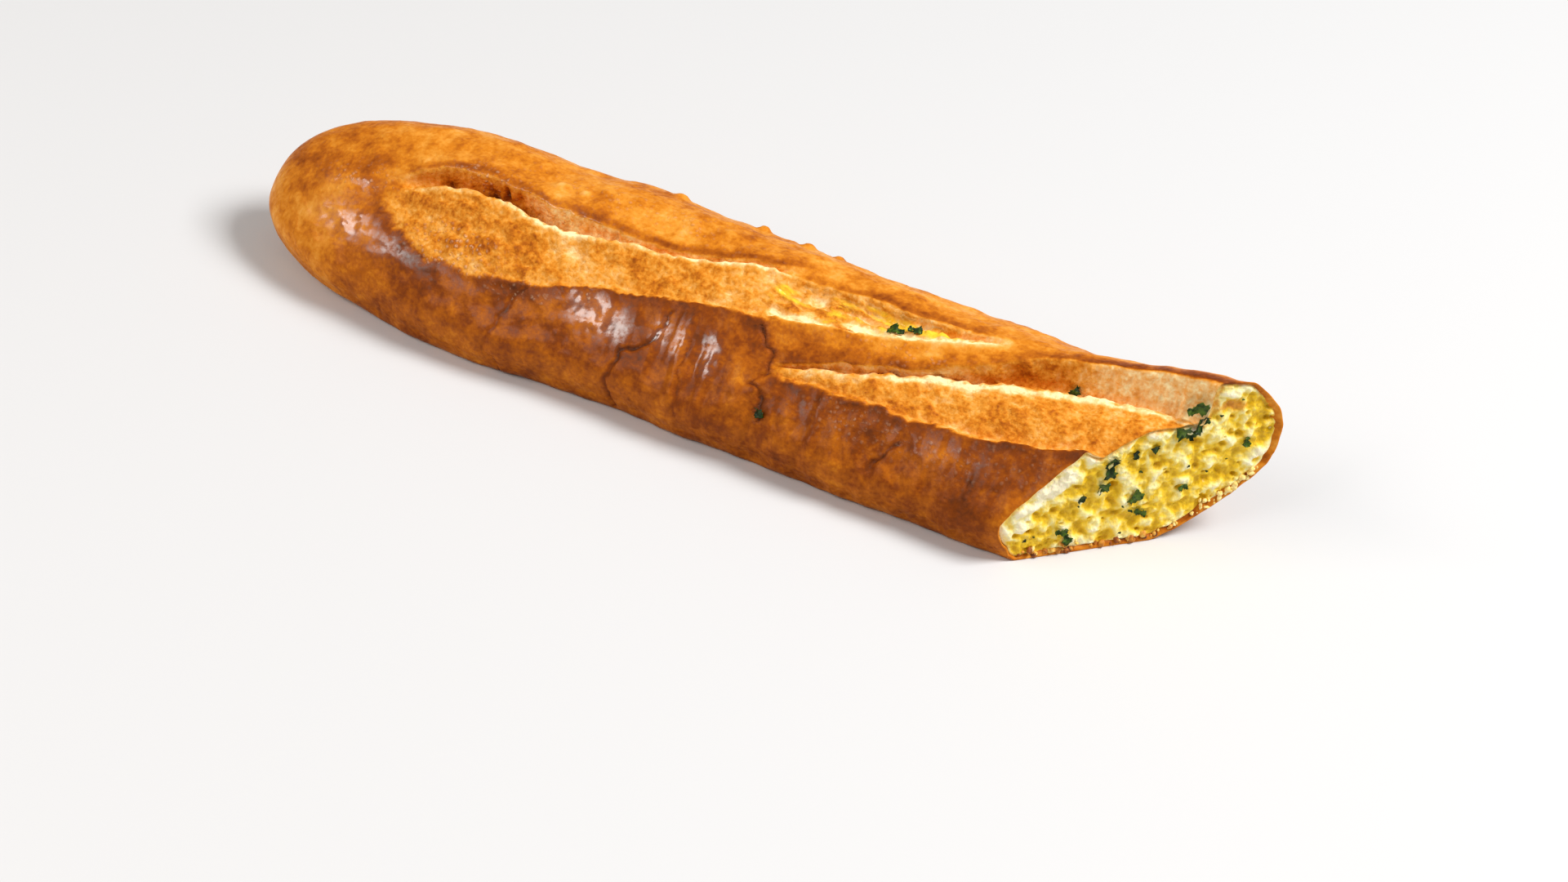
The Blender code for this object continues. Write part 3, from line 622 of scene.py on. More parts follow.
def rim_rows(rim, s):
    """Rows that turn in from the rim, over the crust's thickness, to the bottom of the hollow."""
    start, end = CRUMB_SPINE
    share = np.clip((rim[:, 1:] - start) @ (end - start) / ((end - start) @ (end - start)), 0, 1)
    spine = start + share[:, None] * (end - start)
    inward = spine - rim[:, 1:]
    inward = inward / np.linalg.norm(inward, axis=-1, keepdims=True)
    ragged = run(RIM_RAGGED, s * MM)
    thickness = run(RIM_THICKNESS, s * MM) * (1 + ragged * rough_round(s, RAG_SIZE, 6, 3)) * MM
    proud = PROUD[0] * ragged * rough_round(s, PROUD[1], 7, 2)
    rows = [(rim[:, 1:] + inward * (share * thickness)[:, None], (depth + proud * (depth < PROUD_TO)) * MM)
            for share, depth in RIM_STEPS]
    inner, deepest = rows[-1]
    rows = rows + [(inner + share * (spine - inner), deepest) for share in HOLLOW_STEPS]
    rows.append((0 * inner + CRUMB_CENTRE, deepest))
    made = []
    for place, behind in rows:
        flat = np.column_stack([cut_x(place[:, 0], place[:, 1]), place])
        made.append(flat + np.atleast_1d(behind)[:, None] * np.array(BEHIND_CUT))
    return np.array(made)


rim = rim_rows(net[-1], s[-1])
rim[..., 2] = np.maximum(rim[..., 2], 0.0)
paler = run(RIM_PALER, s[-1] * MM)
blots = rough_round(s[-1], PALER_BLOTS[1], 8, 3) * run(RIM_RAGGED, s[-1] * MM)
paler = paler + PALER_BLOTS[0] * blots
rim_brown = [brown[-1] - min(1.0, PALER_AT * share) * paler for share, depth in RIM_STEPS]
rim_brown = rim_brown + rim_brown[-1:] * (len(rim) - len(RIM_STEPS))
tones = {"brown": np.concatenate([brown, rim_brown])}
skin_tones = {"dough": dough, "butter": butter, "gloss": gloss, "speckle": speckle, "wall": wall}
for name, values in skin_tones.items():
    tones[name] = np.concatenate([values, np.repeat(values[-1:] * (name == "dough"), len(rim), axis=0)])
net = np.concatenate([net, rim])


def netted(points, tones):
    """A sheet of squares with its corners moved onto the points, each keeping its tones for the finish."""
    rows, cols = points.shape[0] - 1, points.shape[1] - 1
    bm = bmesh.new()
    layers = {tone: bm.verts.layers.float.new(tone) for tone in tones}
    bmesh.ops.create_grid(bm, x_segments=rows, y_segments=cols, size=0.5)
    for vert in bm.verts:
        row, col = round((vert.co.x + 0.5) * rows), round((vert.co.y + 0.5) * cols)
        vert.co = points[row, col]
        for tone, values in tones.items():
            vert[layers[tone]] = values[row, col]
    return bm


def finished(name, bm, made):
    """A finished bmesh becomes a smooth piece of the loaf, centred as the frame is, inside its box."""
    bmesh.ops.translate(bm, verts=bm.verts, vec=CENTRED)
    for vert in bm.verts:
        vert.co = [min(max(value, low), high) for value, low, high in zip(vert.co, *cad_box)]
    bmesh.ops.recalc_face_normals(bm, faces=bm.faces)
    mesh = bpy.data.meshes.new(name)
    bm.to_mesh(mesh)
    bm.free()
    mesh.materials.append(made)
    mesh.shade_smooth()
    piece = bpy.data.objects.new(name, mesh)
    bpy.context.scene.collection.objects.link(piece)
    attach(piece, "root")
    return piece


class Tone:
    """An output of a finish's nodes that is reckoned with as if it were a number."""

    def __init__(self, socket):
        self.socket = socket

    def node(self, kind, settings=None, inputs=None, out=0):
        """Any node of the same finish: its settings first, then its sockets' values or links."""
        tree = self.socket.id_data
        made = tree.nodes.new(kind)
        for name, value in (settings or {}).items():
            if name == "stops":
                stops(made.color_ramp, value)
            else:
                setattr(made, name, value)
        for name, value in (inputs or {}).items():
            if isinstance(value, Tone):
                tree.links.new(value.socket, made.inputs[name])
            else:
                made.inputs[name].default_value = value
        return Tone(made.outputs[out])

    def reckon(self, operation, a, b=0.0):
        return self.node("ShaderNodeMath", {"operation": operation}, {0: a, 1: b})

    def __add__(self, other):
        return self.reckon("ADD", self, other)

    def __sub__(self, other):
        return self.reckon("SUBTRACT", self, other)

    def __rsub__(self, other):
        return self.reckon("SUBTRACT", other, self)

    def __mul__(self, other):
        return self.reckon("MULTIPLY", self, other)

    __radd__ = __add__
    __rmul__ = __mul__

    def within(self, low, high):
        """0 below low, 1 above high, and smooth between."""
        inputs = {"Value": self, "From Min": low, "From Max": high}
        return self.node("ShaderNodeMapRange", {"interpolation_type": "SMOOTHSTEP"}, inputs)

    def mark(self, name):
        """A tone that the mesh carries for each of its points."""
        return self.node("ShaderNodeAttribute", {"attribute_name": name}, out="Fac")

    def cloud(self, size, detail=3.0, **inputs):
        """Soft noise about 0, of one size in metres, over these coordinates."""
        inputs = {"Vector": self, "Scale": 1 / size, "Detail": detail, **inputs}
        return self.node("ShaderNodeTexNoise", inputs=inputs) - 0.5

    def dots(self, size, middle=0.14, edge=0.50):
        """Round dots of one size in metres: 1 in their middles and 0 between them."""
        cells = self.node("ShaderNodeTexVoronoi", inputs={"Vector": self, "Scale": 1 / size})
        return 1 - cells.within(middle, edge)

    def mix(self, below, above):
        """One colour over another, as far as this mask says."""
        return self.node("ShaderNodeMix", {"data_type": "RGBA"}, {0: self, 6: below, 7: above}, out=2)


def stops(ramp, colours):
    """A ramp's stops, from a list of (place, colour)."""
    while len(ramp.elements) > 1:
        ramp.elements.remove(ramp.elements[-1])
    for number, (place, colour) in enumerate(colours):
        stop = ramp.elements[0] if number == 0 else ramp.elements.new(place)
        stop.position = place
        stop.color = (*colour, 1)


def new_finish(name, constants):
    """A finish with its constant values set: the material, its shader and its Object coordinates."""
    made = bpy.data.materials.new(name)
    made.use_nodes = True
    shader = made.node_tree.nodes["Principled BSDF"]
    for socket, value in constants.items():
        shader.inputs[socket].default_value = value
    coordinates = made.node_tree.nodes.new("ShaderNodeTexCoord")
    return made, shader, Tone(coordinates.outputs["Object"])


def feed(shader, tones):
    """Link tones to the shader's sockets."""
    for name, tone in tones.items():
        tone.socket.id_data.links.new(tone.socket, shader.inputs[name])


# Colours of baked dough from cream to scorched, of dough soaked with butter, and of the tiny bubbles' pale
# dots:
# partly their paler skin, partly a painted glint on their tops.
BROWNING = (
    (0.00, (0.98, 0.80, 0.42)), (0.12, (0.93, 0.60, 0.25)), (0.26, (0.86, 0.42, 0.105)),
    (0.40, (0.76, 0.30, 0.034)), (0.52, (0.63, 0.20, 0.011)), (0.64, (0.44, 0.114, 0.006)),
    (0.80, (0.24, 0.050, 0.004)), (1.00, (0.09, 0.022, 0.006)),
)
SOAKED = (1.00, 0.60, 0.035, 1)
BUBBLE_SKIN_AND_GLINT = (0.88, 0.54, 0.32, 1)


def crust_finish():
    """Baked crust with a butter gloss, paler and more matt where it is torn dough."""
    butter_gloss = {"Coat Roughness": 0.16, "Coat IOR": 2.0, "Specular IOR Level": 0.07}
    made, shader, place = new_finish("baked crust", butter_gloss)
    marks = ("brown", "dough", "butter", "gloss", "speckle", "wall")
    brown, dough, butter, gloss, speckle, wall = (place.mark(name) for name in marks)
    patches = place.cloud(15 * MM, 4)
    mottle = place.cloud(4.8 * MM, 3)
    grain = place.cloud(1.4 * MM, 3)
    bubbles = place.dots(1.8 * MM)
    patchy = 0.56 - 0.34 * wall
    mottled = 0.44 + 0.16 * dough
    grainy = 0.30 + 0.30 * dough
    shade = brown + patches * patchy + mottle * mottled + grain * grainy
    colour = shade.node("ShaderNodeValToRGB", {"stops": BROWNING}, {0: shade})
    wet = (butter * (1.0 + 2.4 * mottle)).within(0.15, 0.85)
    colour = wet.mix(colour, SOAKED)
    # Tiny bubbles: bumps, with pale dots on top that are partly their paler skin and partly a painted glint.
    some = (grain * 4.0 + 0.55).within(0.3, 0.9)
    dry = bubbles * speckle * some
    colour = (dry * 0.55).mix(colour, BUBBLE_SKIN_AND_GLINT)
    roughness = 0.42 + 0.14 * dough + 0.35 * grain + 0.14 * patches
    thin_film = 0.035
    broken = 0.80 + 2.2 * mottle + 2.4 * grain
    coat = gloss * broken + thin_film - thin_film * dough + 0.25 * wet
    height = grain * (0.45 + 0.45 * dough) + mottle * (0.30 + 0.8 * dough) + dry * 0.8
    bump = height.node("ShaderNodeBump", inputs={"Strength": 0.6, "Distance": 0.9 * MM, "Height": height})
    feed(shader, {
        "Base Color": colour, "Roughness": roughness, "Coat Weight": coat.within(0, 1), "Normal": bump,
    })
    return made


SAME_PLACE = 0.002 * MM
bm = netted(net, tones)
bmesh.ops.remove_doubles(bm, verts=bm.verts, dist=SAME_PLACE)
crust = finished("crust", bm, crust_finish())
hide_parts("loaf")

# ---------------------------------------------------------------------------------------------------------
# The crumb. Soft white bread torn by the knife, full of small pores, yellow where the garlic butter soaked
# in and still white under the near crust. It fills the hollow of the crust as a thin plug.
# ---------------------------------------------------------------------------------------------------------
CRUMB_STEP = (0.22 * MM, 0.27 * MM)
CRUMB_BOX = ((-5 * MM, 67 * MM), (0.4 * MM, 56 * MM))
CUT_STRETCH = 1 / math.sin(CUT_BIAS)

# The plug's edge lies in the crust's rim, CRUMB_EDGE of its thickness from the outside, and further out where
# the rim is ragged. From there the crumb rises to its full relief, a little behind the cut. The plug's back
# is drawn in by CRUMB_TAPER, to stay inside the crust.
CRUMB_EDGE = 0.62
CRUMB_REACH = 1.15
RELIEF_FROM = 0.7
RELIEF_OVER = 1.4
EDGE_SINKS = 0.5
CRUMB_RECESS = 0.45
PLUG_DEPTH = 2.9
CRUMB_TAPER = 0.04
CRUMB_CLEAR = 0.2 * MM

# The crumb's relief, in millimetres: lumps, shreds and walls between large and small pores, each (height,
# size), how far all that sinks, and round pits.
LUMPS = (1.30, 5.0)
LARGE_PORES = (0.45, 3.2)
SMALL_PORES = (0.14, 1.4)
SHREDS = (0.40, 2.4)
RELIEF_SINKS = 0.40
CRUMB_PITS = 110
PITS_ACROSS = (-2, 66)
PITS_UP = (2, 52)
PIT_RADIUS = (0.5, 2.2)
PIT_DEPTH = 1.35
PIT_SHARE = (0.2, 1)
PIT_FLATNESS = (1, 1.8)

# Where the butter didn't reach, beside the near crust, where the crumb toasted, by the ear of the crust and
# along the far rim, and the paler band inside the crust: places, reaches and distances in millimetres.
WHITE_PLACE = (6.5, 22)
WHITE_REACH = (3.4, 8.5)
WHITE_LEAN = 0.72
TOASTED_PLACE = (51, 46.4)
TOASTED_REACH = (4.5, 3)
RIM_TOAST = 0.6
RIM_TOAST_INSIDE = (1.4, 1.6)
FAR_SIDE = (26, 12)
FAR_SIDE_LEAN = 0.6
LIGHT_BAND = (1.0, 3.5)


def pores(points, size, seed):
    """1 on the walls between pores of one size in millimetres, falling to 0 in their middles."""
    scaled = points / (size * MM) + seed * np.array((3.1, 7.7, 1.9))
    walls = []
    for point in scaled.reshape(-1, 3):
        nearest, second = noise.voronoi(point)[0][:2]
        walls.append(1 - min(1.0, 1.6 * (second - nearest)))
    return np.array(walls).reshape(points.shape[:-1])


def within_outline(places, outline):
    """How far inside a closed outline each place lies, below 0 outside it, and its nearest corner."""
    ahead = np.roll(outline, -1, axis=0)
    way = ahead - outline
    rise = np.where(way[:, 1] == 0, 1, way[:, 1])
    nearest, corner = [], []
    for place in places.reshape(-1, 2):
        off = place - outline
        share = np.clip((off * way).sum(axis=1) / (way * way).sum(axis=1), 0, 1)
        away = np.sqrt(((off - share[:, None] * way) ** 2).sum(axis=1))
        corner.append(away.argmin())
        away = away.min()
        spans = (outline[:, 1] > place[1]) != (ahead[:, 1] > place[1])
        crossing = outline[:, 0] + (place[1] - outline[:, 1]) * way[:, 0] / rise
        nearest.append(away if (spans & (crossing > place[0])).sum() % 2 else -away)
    return np.array(nearest).reshape(places.shape[:-1]), np.array(corner).reshape(places.shape[:-1])


def crumb_height(across, up):
    """How far the crumb stands before the cut, in millimetres: lumps, pore walls, and round pits."""
    flat = np.stack([across * CUT_STRETCH, up, 0 * up], axis=-1)
    torn = LUMPS[0] * rough(flat, LUMPS[1], 11) + LARGE_PORES[0] * pores(flat, LARGE_PORES[1], 1)
    torn = torn + SMALL_PORES[0] * pores(flat, SMALL_PORES[1], 2)
    torn = torn + SHREDS[0] * rough(flat, SHREDS[1], 12, 3) - RELIEF_SINKS
    draw = np.random.default_rng(SEED + 9)
    for _ in range(CRUMB_PITS):
        y, z = draw.uniform(*PITS_ACROSS) * MM, draw.uniform(*PITS_UP) * MM
        radius = draw.uniform(*PIT_RADIUS) * MM
        away = np.hypot((across - y) * CUT_STRETCH, (up - z) * draw.uniform(*PIT_FLATNESS)) / radius
        torn = torn - PIT_DEPTH * draw.uniform(*PIT_SHARE) * ease(1.2 - away)
    return torn


def spot(across, up, place, reach, lean=0.0):
    """1 in the middle of a soft spot on the cut, falling to 0 round it."""
    above = up - place[1]
    return np.exp(-((across - place[0] - lean * above) / reach[0]) ** 2 - (above / reach[1]) ** 2)


OUTLINE_CORNERS = 300
outline_s = np.linspace(0, LOAF.girth, OUTLINE_CORNERS, endpoint=False)
cut_outline = laid(np.array([[1.0]]), outline_s[None, :])[0][:, 1:]
sides = [np.arange(*reach, step) for reach, step in zip(CRUMB_BOX, CRUMB_STEP)]
face = np.stack(np.meshgrid(*sides, indexing="ij"), axis=-1)
inset, corner = within_outline(face, cut_outline)
inset = inset / MM
thickness = run(RIM_THICKNESS, outline_s * MM)[corner]
hidden = CRUMB_EDGE * thickness * (CRUMB_REACH - run(RIM_RAGGED, outline_s * MM)[corner])
inner = ease((inset - RELIEF_FROM * thickness) / RELIEF_OVER)
high = crumb_height(face[..., 0], face[..., 1]) * inner
flat = np.concatenate([cut_x(face[..., 0], face[..., 1])[..., None], face], axis=-1)
crumb_net = flat + ((high - CRUMB_RECESS - EDGE_SINKS * (1 - inner)) * MM)[..., None] * np.array(CUT_NORMAL)
across, up = face[..., 0] / MM, face[..., 1] / MM
dry = spot(across, up, WHITE_PLACE, WHITE_REACH, WHITE_LEAN)
by_rim = 1 - ease((inset - RIM_TOAST_INSIDE[0]) / RIM_TOAST_INSIDE[1])
far_side = ease((across - FAR_SIDE[0] + FAR_SIDE_LEAN * up) / FAR_SIDE[1])
toast = spot(across, up, TOASTED_PLACE, TOASTED_REACH) + RIM_TOAST * by_rim * far_side
edge_light = 1 - ease((inset - LIGHT_BAND[0]) / LIGHT_BAND[1])

# Colours of the crumb from white to soaked with butter, and of toasted crumb.
SOAKING = (
    (0.00, (0.98, 0.88, 0.60)), (0.24, (0.98, 0.85, 0.40)), (0.45, (0.97, 0.75, 0.20)),
    (0.68, (0.93, 0.60, 0.035)), (1.00, (0.72, 0.42, 0.008)),
)
TOASTED_CRUMB = (0.74, 0.31, 0.035, 1)


def crumb_finish():
    """Bread soaked with butter: yellow and oily in hollows; raised shreds paler, in part a painted highlight.
    """
    made, shader, place = new_finish("buttered crumb", {
        "Specular IOR Level": 0.1, "Coat Roughness": 0.22, "Subsurface Weight": 0.12,
        "Subsurface Radius": (1.0, 0.6, 0.15), "Subsurface Scale": 2 * MM,
    })
    high, dry, toast, edge_light = (place.mark(name) for name in ("high", "dry", "toast", "edge_light"))
    blots = place.cloud(8 * MM, 4)
    mottle = place.cloud(2.6 * MM, 4)
    specks = place.cloud(0.9 * MM, 3)
    # Raised crumb is drawn paler (0.50 * high): partly drier crumb, partly a painted highlight on its tops.
    soak = 0.62 + blots * 1.5 + mottle * 0.8 + specks * 0.2 - 0.50 * high - 0.9 * dry - 0.20 * edge_light
    colour = soak.node("ShaderNodeValToRGB", {"stops": SOAKING}, {0: soak})
    browned = (toast + mottle * 1.2).within(0.35, 1.0)
    colour = browned.mix(colour, TOASTED_CRUMB)
    roughness = 0.60 - 0.25 * soak.within(0.3, 0.9) + 0.25 * specks
    height = specks * 0.9 + mottle * 0.6
    bump = height.node("ShaderNodeBump", inputs={"Strength": 0.7, "Distance": 0.6 * MM, "Height": height})
    oil = soak.within(0.55, 1.0) * 0.15
    feed(shader, {"Base Color": colour, "Roughness": roughness, "Coat Weight": oil, "Normal": bump})
    return made


tones = {"high": high, "dry": dry, "toast": toast, "edge_light": edge_light, "shown": inset - hidden}
bm = netted(crumb_net, tones)
shown_layer = bm.verts.layers.float["shown"]
outside = [vert for vert in bm.verts if vert[shown_layer] < 0]
bmesh.ops.delete(bm, geom=outside, context="VERTS")
loose = [vert for vert in bm.verts if not vert.link_faces]
bmesh.ops.delete(bm, geom=loose, context="VERTS")
made = bmesh.ops.extrude_edge_only(bm, edges=[edge for edge in bm.edges if edge.is_boundary])["geom"]
back = [vert for vert in made if isinstance(vert, bmesh.types.BMVert)]
bmesh.ops.translate(bm, verts=back, vec=BEHIND_CUT * (PLUG_DEPTH - CRUMB_RECESS) * MM)
for vert in back:
    vert.co.y += CRUMB_TAPER * (CRUMB_CENTRE[0] - vert.co.y)
    vert.co.z += CRUMB_TAPER * (CRUMB_CENTRE[1] - vert.co.z)
bmesh.ops.holes_fill(bm, edges=[edge for edge in bm.edges if edge.is_boundary], sides=0)
for vert in bm.verts:
    vert.co.z = max(vert.co.z, CRUMB_CLEAR)
crumb = finished("crumb", bm, crumb_finish())
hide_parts("loaf")

# ---------------------------------------------------------------------------------------------------------
# The torn bits. The knife tore the crumb and the crust under the loaf, and left small crumbs of both hanging
# on the lower rim of the cut.
# ---------------------------------------------------------------------------------------------------------
TORN_BITS = 90
BIT_RADIUS = (0.45, 1.2)
BIT_SQUEEZE = (0.6, 1.2)
BIT_LUMPS = 0.45
BIT_LUMP_PITCH = 1.3

# Where they hang: how far round the section, how far up and across from the rim, in from its near and its far
# corner, and how deep in the cut.
BITS_ROUND = (122, LOAF.girth + 4)
NEAR_CORNER = 160
BITS_UP = (0.7, 1.3)
BITS_SPREAD = 0.5
NEAR_BITS_IN = 0.8
FAR_BITS_IN = -0.4
BITS_DEEP = 0.35
BIT_CLEAR = 0.1 * MM

# How brown they are: the browner the lower they hang.
BIT_BROWN = (0.85, 0.2)
BIT_PALER_UP = 0.16
BIT_PALEST = 0.25


def add_bit(bm, layer, tint, radius, place, draw):
    """One crumb: a ball squeezed and roughened into an uneven lump."""
    ball = bmesh.ops.create_icosphere(bm, subdivisions=2, radius=radius)["verts"]
    squeeze = Vector(draw.uniform(*BIT_SQUEEZE, 3))
    for vert in ball:
        lump = 1 + BIT_LUMPS * noise.noise(vert.co / radius * BIT_LUMP_PITCH + place * 900)
        vert.co = place + vert.co * squeeze * lump
        vert[layer] = tint


bm = bmesh.new()
layer = bm.verts.layers.float.new("tint")
draw = np.random.default_rng(SEED + 15)
for _ in range(TORN_BITS):
    round_at = draw.uniform(*BITS_ROUND)
    y, z = laid(np.array([[1.0]]), np.array([[round_at % LOAF.girth]]))[0, 0, 1:]
    z = z + abs(draw.normal(0, BITS_UP[1])) * MM + BITS_UP[0] * MM
    y = y + draw.normal(0, BITS_SPREAD) * MM + (NEAR_BITS_IN if round_at > NEAR_CORNER else FAR_BITS_IN) * MM
    place = Vector((cut_x(y, z), y, z)) - CUT_NORMAL * BITS_DEEP * MM
    tint = BIT_BROWN[0] - BIT_PALER_UP * (z / MM - BITS_UP[0]) + draw.normal(0, BIT_BROWN[1])
    add_bit(bm, layer, np.clip(tint, BIT_PALEST, 1), draw.uniform(*BIT_RADIUS) * MM, place, draw)
for vert in bm.verts:
    vert.co.z = max(vert.co.z, BIT_CLEAR)

CREAM_TO_CRUST = (
    (0.00, (0.96, 0.84, 0.46)), (0.35, (0.90, 0.62, 0.14)), (0.60, (0.66, 0.26, 0.025)),
    (0.85, (0.34, 0.09, 0.012)), (1.00, (0.13, 0.035, 0.010)),
)


def bits_finish():
    """Crumbs from cream over gold to the dark brown of the baked base."""
    made, shader, place = new_finish("torn bits", {"Specular IOR Level": 0.25})
    shade = place.mark("tint") + place.cloud(1.2 * MM, 3) * 0.7
    colour = shade.node("ShaderNodeValToRGB", {"stops": CREAM_TO_CRUST}, {0: shade})
    roughness = 0.5 + 0.4 * place.cloud(0.8 * MM, 2)
    feed(shader, {"Base Color": colour, "Roughness": roughness})
    return made


bits = finished("torn-bits", bm, bits_finish())
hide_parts("loaf")

# ---------------------------------------------------------------------------------------------------------
# The parsley. Fresh leaves chopped and stirred into the garlic butter: thin, lobed, wavy flakes and specks
# that stuck to the crumb and in the slashes when the butter melted.
# ---------------------------------------------------------------------------------------------------------
FLAKES_ON_CUT = (
    (41.5, 47.5, 7), (42.8, 41, 6.5), (39.4, 38.6, 7), (21.5, 30, 7), (20.5, 22.5, 5), (29, 17.5, 6),
    (31, 11.5, 4), (27.5, 33, 3.2), (32.5, 34.5, 3.2), (41, 18.5, 3.4), (15, 20, 3), (11, 9, 4), (12.5, 5, 4),
    (56, 32.5, 3.6),
)
FLAKES_ON_SKIN = ((52, 67.5, 5.5), (57.5, 69.5, 4.5), (110, 75, 4.5), (23.7, 25, 4.5))
FLAKE_THICKNESS = 0.35 * MM
THIN_SHARE = 0.15
FLAKE_LIFT = 0.3 * MM
SKIN_LIFT = 1.2 * MM
SKIN_STEP = 1.5

# How a flake on the skin stands up from it: its far edge curls towards the near side.
CURL = Vector((0.2, -0.7, 0.2))

# The flecks: how many, how long and where, in millimetres, and how far from the crust they keep.
SPECKS = 20
SPECK_LENGTH = (0.7, 1.7)
SPECKS_ACROSS = (2, 60)
SPECKS_UP = (3, 50)
SPECK_INSET = 3 * MM
SPECK_LIFT = 0.1 * MM

# A flake's shape, as shares of its length: its width, how deep lobes and teeth cut in, how far it waves,
# ruffles, cups and bends, with how often each comes along it, and how far it is tipped.
LEAF_WIDTH = 0.58
LOBES = (0.45, 9)
TEETH = (0.28, 31)
WAVES = (0.09, 7)
RUFFLES = (0.03, 19)
CUP = 0.5
CUP_SINKS = 0.05
BEND = (0.14, 3)
TIPPED = 0.35


def bread_height(y, z, reach):
    """The highest that the crumb stands within reach of a place on the cut, in metres before the cut."""
    near = np.hypot((face[..., 0] - y) * CUT_STRETCH, face[..., 1] - z) < reach
    near &= inset > hidden
    return (high[near].max() - CRUMB_RECESS) * MM if near.any() else -CRUMB_RECESS * MM


def flake_places():
    """Where each flake lies, which way it faces, and how long it is, in metres."""
    for across, up, length in FLAKES_ON_CUT:
        y, z = across * MM, up * MM
        stands = bread_height(y, z, 0.45 * length * MM) + FLAKE_LIFT
        yield Vector((cut_x(y, z), y, z)) + CUT_NORMAL * stands, CUT_NORMAL, length * MM
    for along, around, length in FLAKES_ON_SKIN:
        x, round_at = np.array([along * MM, along * MM + SKIN_STEP * MM]), np.array([around, around], float)
        here, ahead = (Vector((a, *b)) for a, b in zip(x, skin(x, round_at)))
        beside = Vector((x[0], *skin(x[:1], round_at[:1] + SKIN_STEP)[0]))
        outward = (ahead - here).cross(beside - here).normalized()
        yield here + outward * SKIN_LIFT, (outward + CURL).normalized(), length * MM


def speck_places(draw):
    """Tiny flecks of parsley strewn over the cut."""
    for _ in range(SPECKS):
        y, z = draw.uniform(*SPECKS_ACROSS) * MM, draw.uniform(*SPECKS_UP) * MM
        length = draw.uniform(*SPECK_LENGTH) * MM
        if within_outline(np.array([[y, z]]), cut_outline)[0][0] > SPECK_INSET:
            stands = bread_height(y, z, MM) + SPECK_LIFT
            yield Vector((cut_x(y, z), y, z)) + CUT_NORMAL * stands, CUT_NORMAL, length


def add_flake(bm, tint, length, place, normal, draw, squares=(12, 5)):
    """One flake: a lobed leaf, both faces split alike, thin and wavy, turned any way on the bread."""
    leaf = bmesh.ops.create_grid(bm, x_segments=squares[0], y_segments=squares[1], size=0.5)["verts"]
    lobes = draw.uniform(0, 2 * math.pi)
    shade = draw.uniform(0, 1)
    for vert in leaf:
        t, side = vert.co.x + 0.5, vert.co.y
        blade = math.sin(math.pi * (0.12 + 0.8 * t))
        width = LEAF_WIDTH * blade * (1 + LOBES[0] * math.sin(LOBES[1] * t + lobes))
        width *= 1 + TEETH[0] * math.sin(TEETH[1] * t + 2 * lobes + 2 * side)
        wave = WAVES[0] * math.sin(WAVES[1] * t + lobes) + CUP * side ** 2 - CUP_SINKS
        wave += RUFFLES[0] * math.sin(RUFFLES[1] * t + 9 * side)
        bend = BEND[0] * math.sin(BEND[1] * t + 2 * lobes)
        vert.co = length * Vector((t - 0.5, side * width + bend, wave))
        vert[tint] = shade
    faces = list({face for vert in leaf for face in vert.link_faces})
    thickness = min(FLAKE_THICKNESS, THIN_SHARE * length)
    made = bmesh.ops.solidify(bm, geom=faces, thickness=thickness)["geom"]
    verts = {vert for vert in made if isinstance(vert, bmesh.types.BMVert)} | set(leaf)
    flat = Vector((0, 0, 1)).rotation_difference(normal).to_matrix().to_4x4()
    spin = Matrix.Rotation(draw.uniform(0, 2 * math.pi), 4, "Z")
    tip = Matrix.Rotation(draw.uniform(-TIPPED, TIPPED), 4, "Y")
    bmesh.ops.transform(bm, matrix=Matrix.Translation(place) @ flat @ spin @ tip, verts=list(verts))


LEAF_GREEN = ((0.0, (0.004, 0.011, 0.001)), (0.5, (0.017, 0.045, 0.003)), (1.0, (0.11, 0.19, 0.012)))


def parsley_finish():
    """Leaf green, darker on some flakes, oily with butter."""
    made, shader, place = new_finish("chopped parsley", {
        "Specular IOR Level": 0.2, "Coat Roughness": 0.15, "Coat Weight": 0.12,
    })
    tone = place.mark("tint") * 0.5 + place.cloud(1.6 * MM, 3) * 1.8 + 0.25
    colour = tone.node("ShaderNodeValToRGB", {"stops": LEAF_GREEN}, {0: tone})
    veins = place.cloud(0.6 * MM, 2)
    bump = veins.node("ShaderNodeBump", inputs={"Strength": 0.5, "Distance": 0.3 * MM, "Height": veins})
    feed(shader, {"Base Color": colour, "Roughness": 0.42 + 0.2 * veins, "Normal": bump})
    return made


bm = bmesh.new()
tint = bm.verts.layers.float.new("tint")
draw = np.random.default_rng(SEED + 7)
for place, outward, length in flake_places():
    add_flake(bm, tint, length, place, outward, draw)
for place, outward, length in speck_places(draw):
    add_flake(bm, tint, length, place, outward, draw, squares=(4, 2))
parsley = finished("parsley", bm, parsley_finish())
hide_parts("loaf")

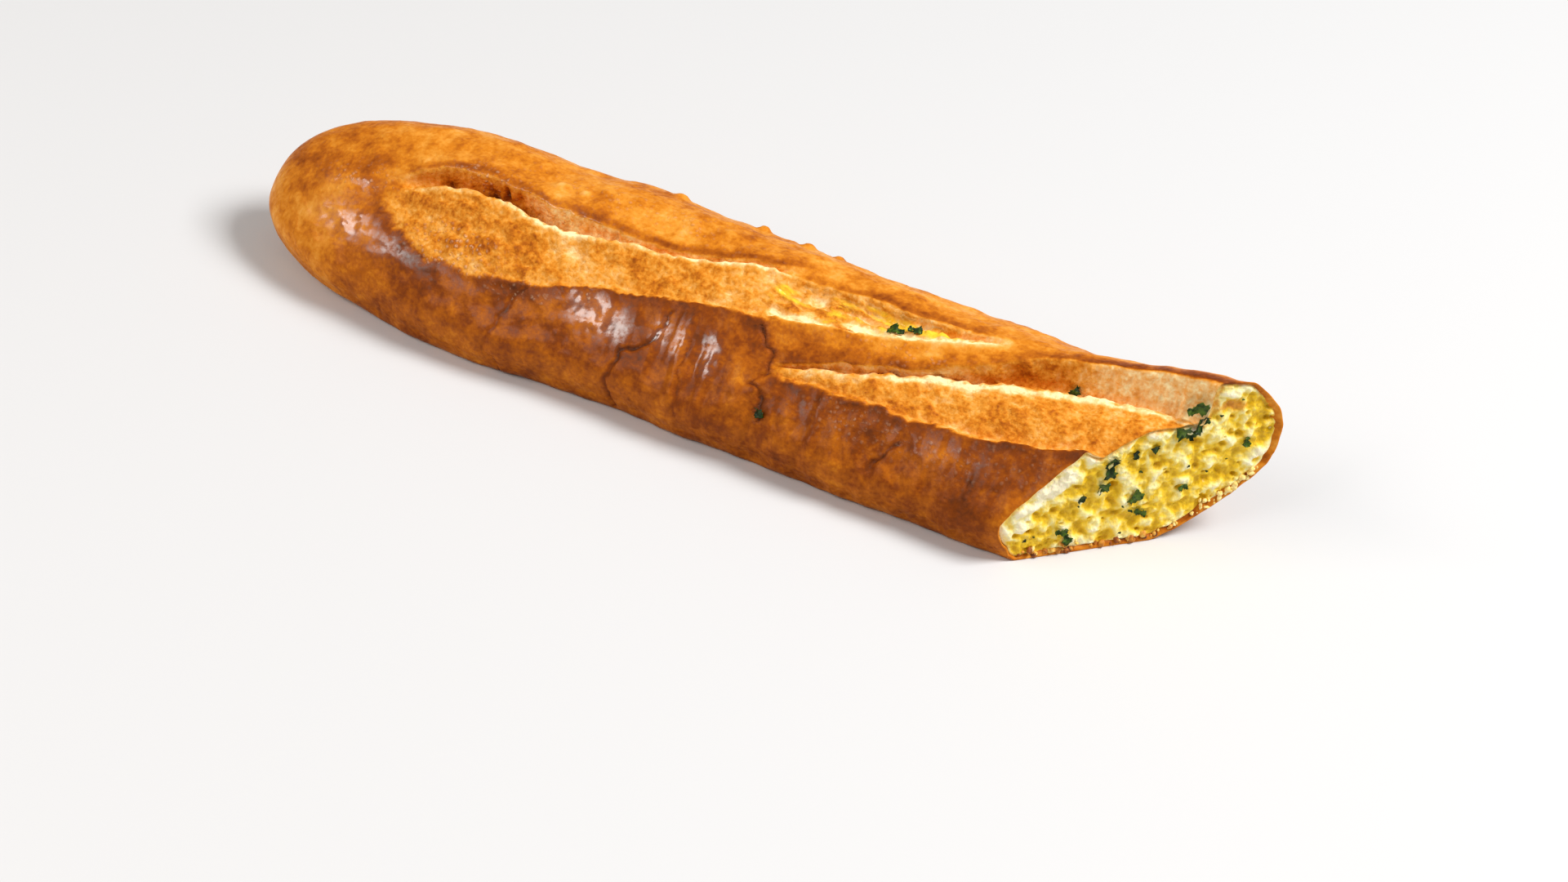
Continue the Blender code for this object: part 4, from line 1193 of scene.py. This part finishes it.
# ---------------------------------------------------------------------------------------------------------
# The floor, the light and the camera: a pale table, a broad window behind and above on the right, a softer
# one in front on the left whose gleam lies on the buttered flank, and white walls all round.
# ---------------------------------------------------------------------------------------------------------
FLOOR_SIZE = 6.0
TABLE_GREY = 0.66
ROOM_LIGHT = 0.28
LOOK_AT = Vector((0.0391, -0.0476, 0.025))
VIEW_DISTANCE = 1.138
VIEW_AZIMUTH = math.radians(20.99)
VIEW_ELEVATION = math.radians(34.22)
VIEW_ROLL = math.radians(8.11)
LENS = 86.49

floor_bm = bmesh.new()
bmesh.ops.create_grid(floor_bm, x_segments=1, y_segments=1, size=FLOOR_SIZE)
floor_mesh = bpy.data.meshes.new("floor")
floor_bm.to_mesh(floor_mesh)
floor_bm.free()
pale_table = {"Base Color": (TABLE_GREY, TABLE_GREY, TABLE_GREY, 1), "Roughness": 0.7}
floor_mesh.materials.append(new_finish("pale table", pale_table)[0])
floor = bpy.data.objects.new("floor", floor_mesh)
bpy.context.scene.collection.objects.link(floor)


def softbox(name, place, size, power, colour=(1, 1, 1)):
    """A soft light with four straight sides that faces the loaf."""
    light = bpy.data.lights.new(name, "AREA")
    light.shape = "RECTANGLE"
    light.size, light.size_y = size
    light.energy = power
    light.color = colour
    lamp = bpy.data.objects.new(name, light)
    lamp.location = place
    lamp.rotation_euler = (LOOK_AT - Vector(place)).to_track_quat("-Z", "Y").to_euler()
    bpy.context.scene.collection.objects.link(lamp)


softbox("window behind", place=(1.35, 0.55, 1.85), size=(1.1, 0.9), power=65)
softbox("window in front", place=(-0.80, -0.96, 1.02), size=(1.4, 0.6), power=13, colour=(1.0, 0.93, 0.88))

world = bpy.data.worlds.new("white room")
world.use_nodes = True
world.node_tree.nodes["Background"].inputs["Color"].default_value = (1, 1, 1, 1)
world.node_tree.nodes["Background"].inputs["Strength"].default_value = ROOM_LIGHT
bpy.context.scene.world = world
bpy.context.scene.view_settings.view_transform = "Standard"

camera = bpy.data.objects.new("camera", bpy.data.cameras.new("camera"))
camera.data.lens = LENS
level = math.cos(VIEW_ELEVATION)
back = Vector((math.sin(VIEW_AZIMUTH) * level, -math.cos(VIEW_AZIMUTH) * level, math.sin(VIEW_ELEVATION)))
camera.location = LOOK_AT + VIEW_DISTANCE * back
camera.rotation_mode = "QUATERNION"
camera.rotation_quaternion = (-back).to_track_quat("-Z", "Y") @ Quaternion((0, 0, 1), VIEW_ROLL)
bpy.context.scene.collection.objects.link(camera)
bpy.context.scene.camera = camera
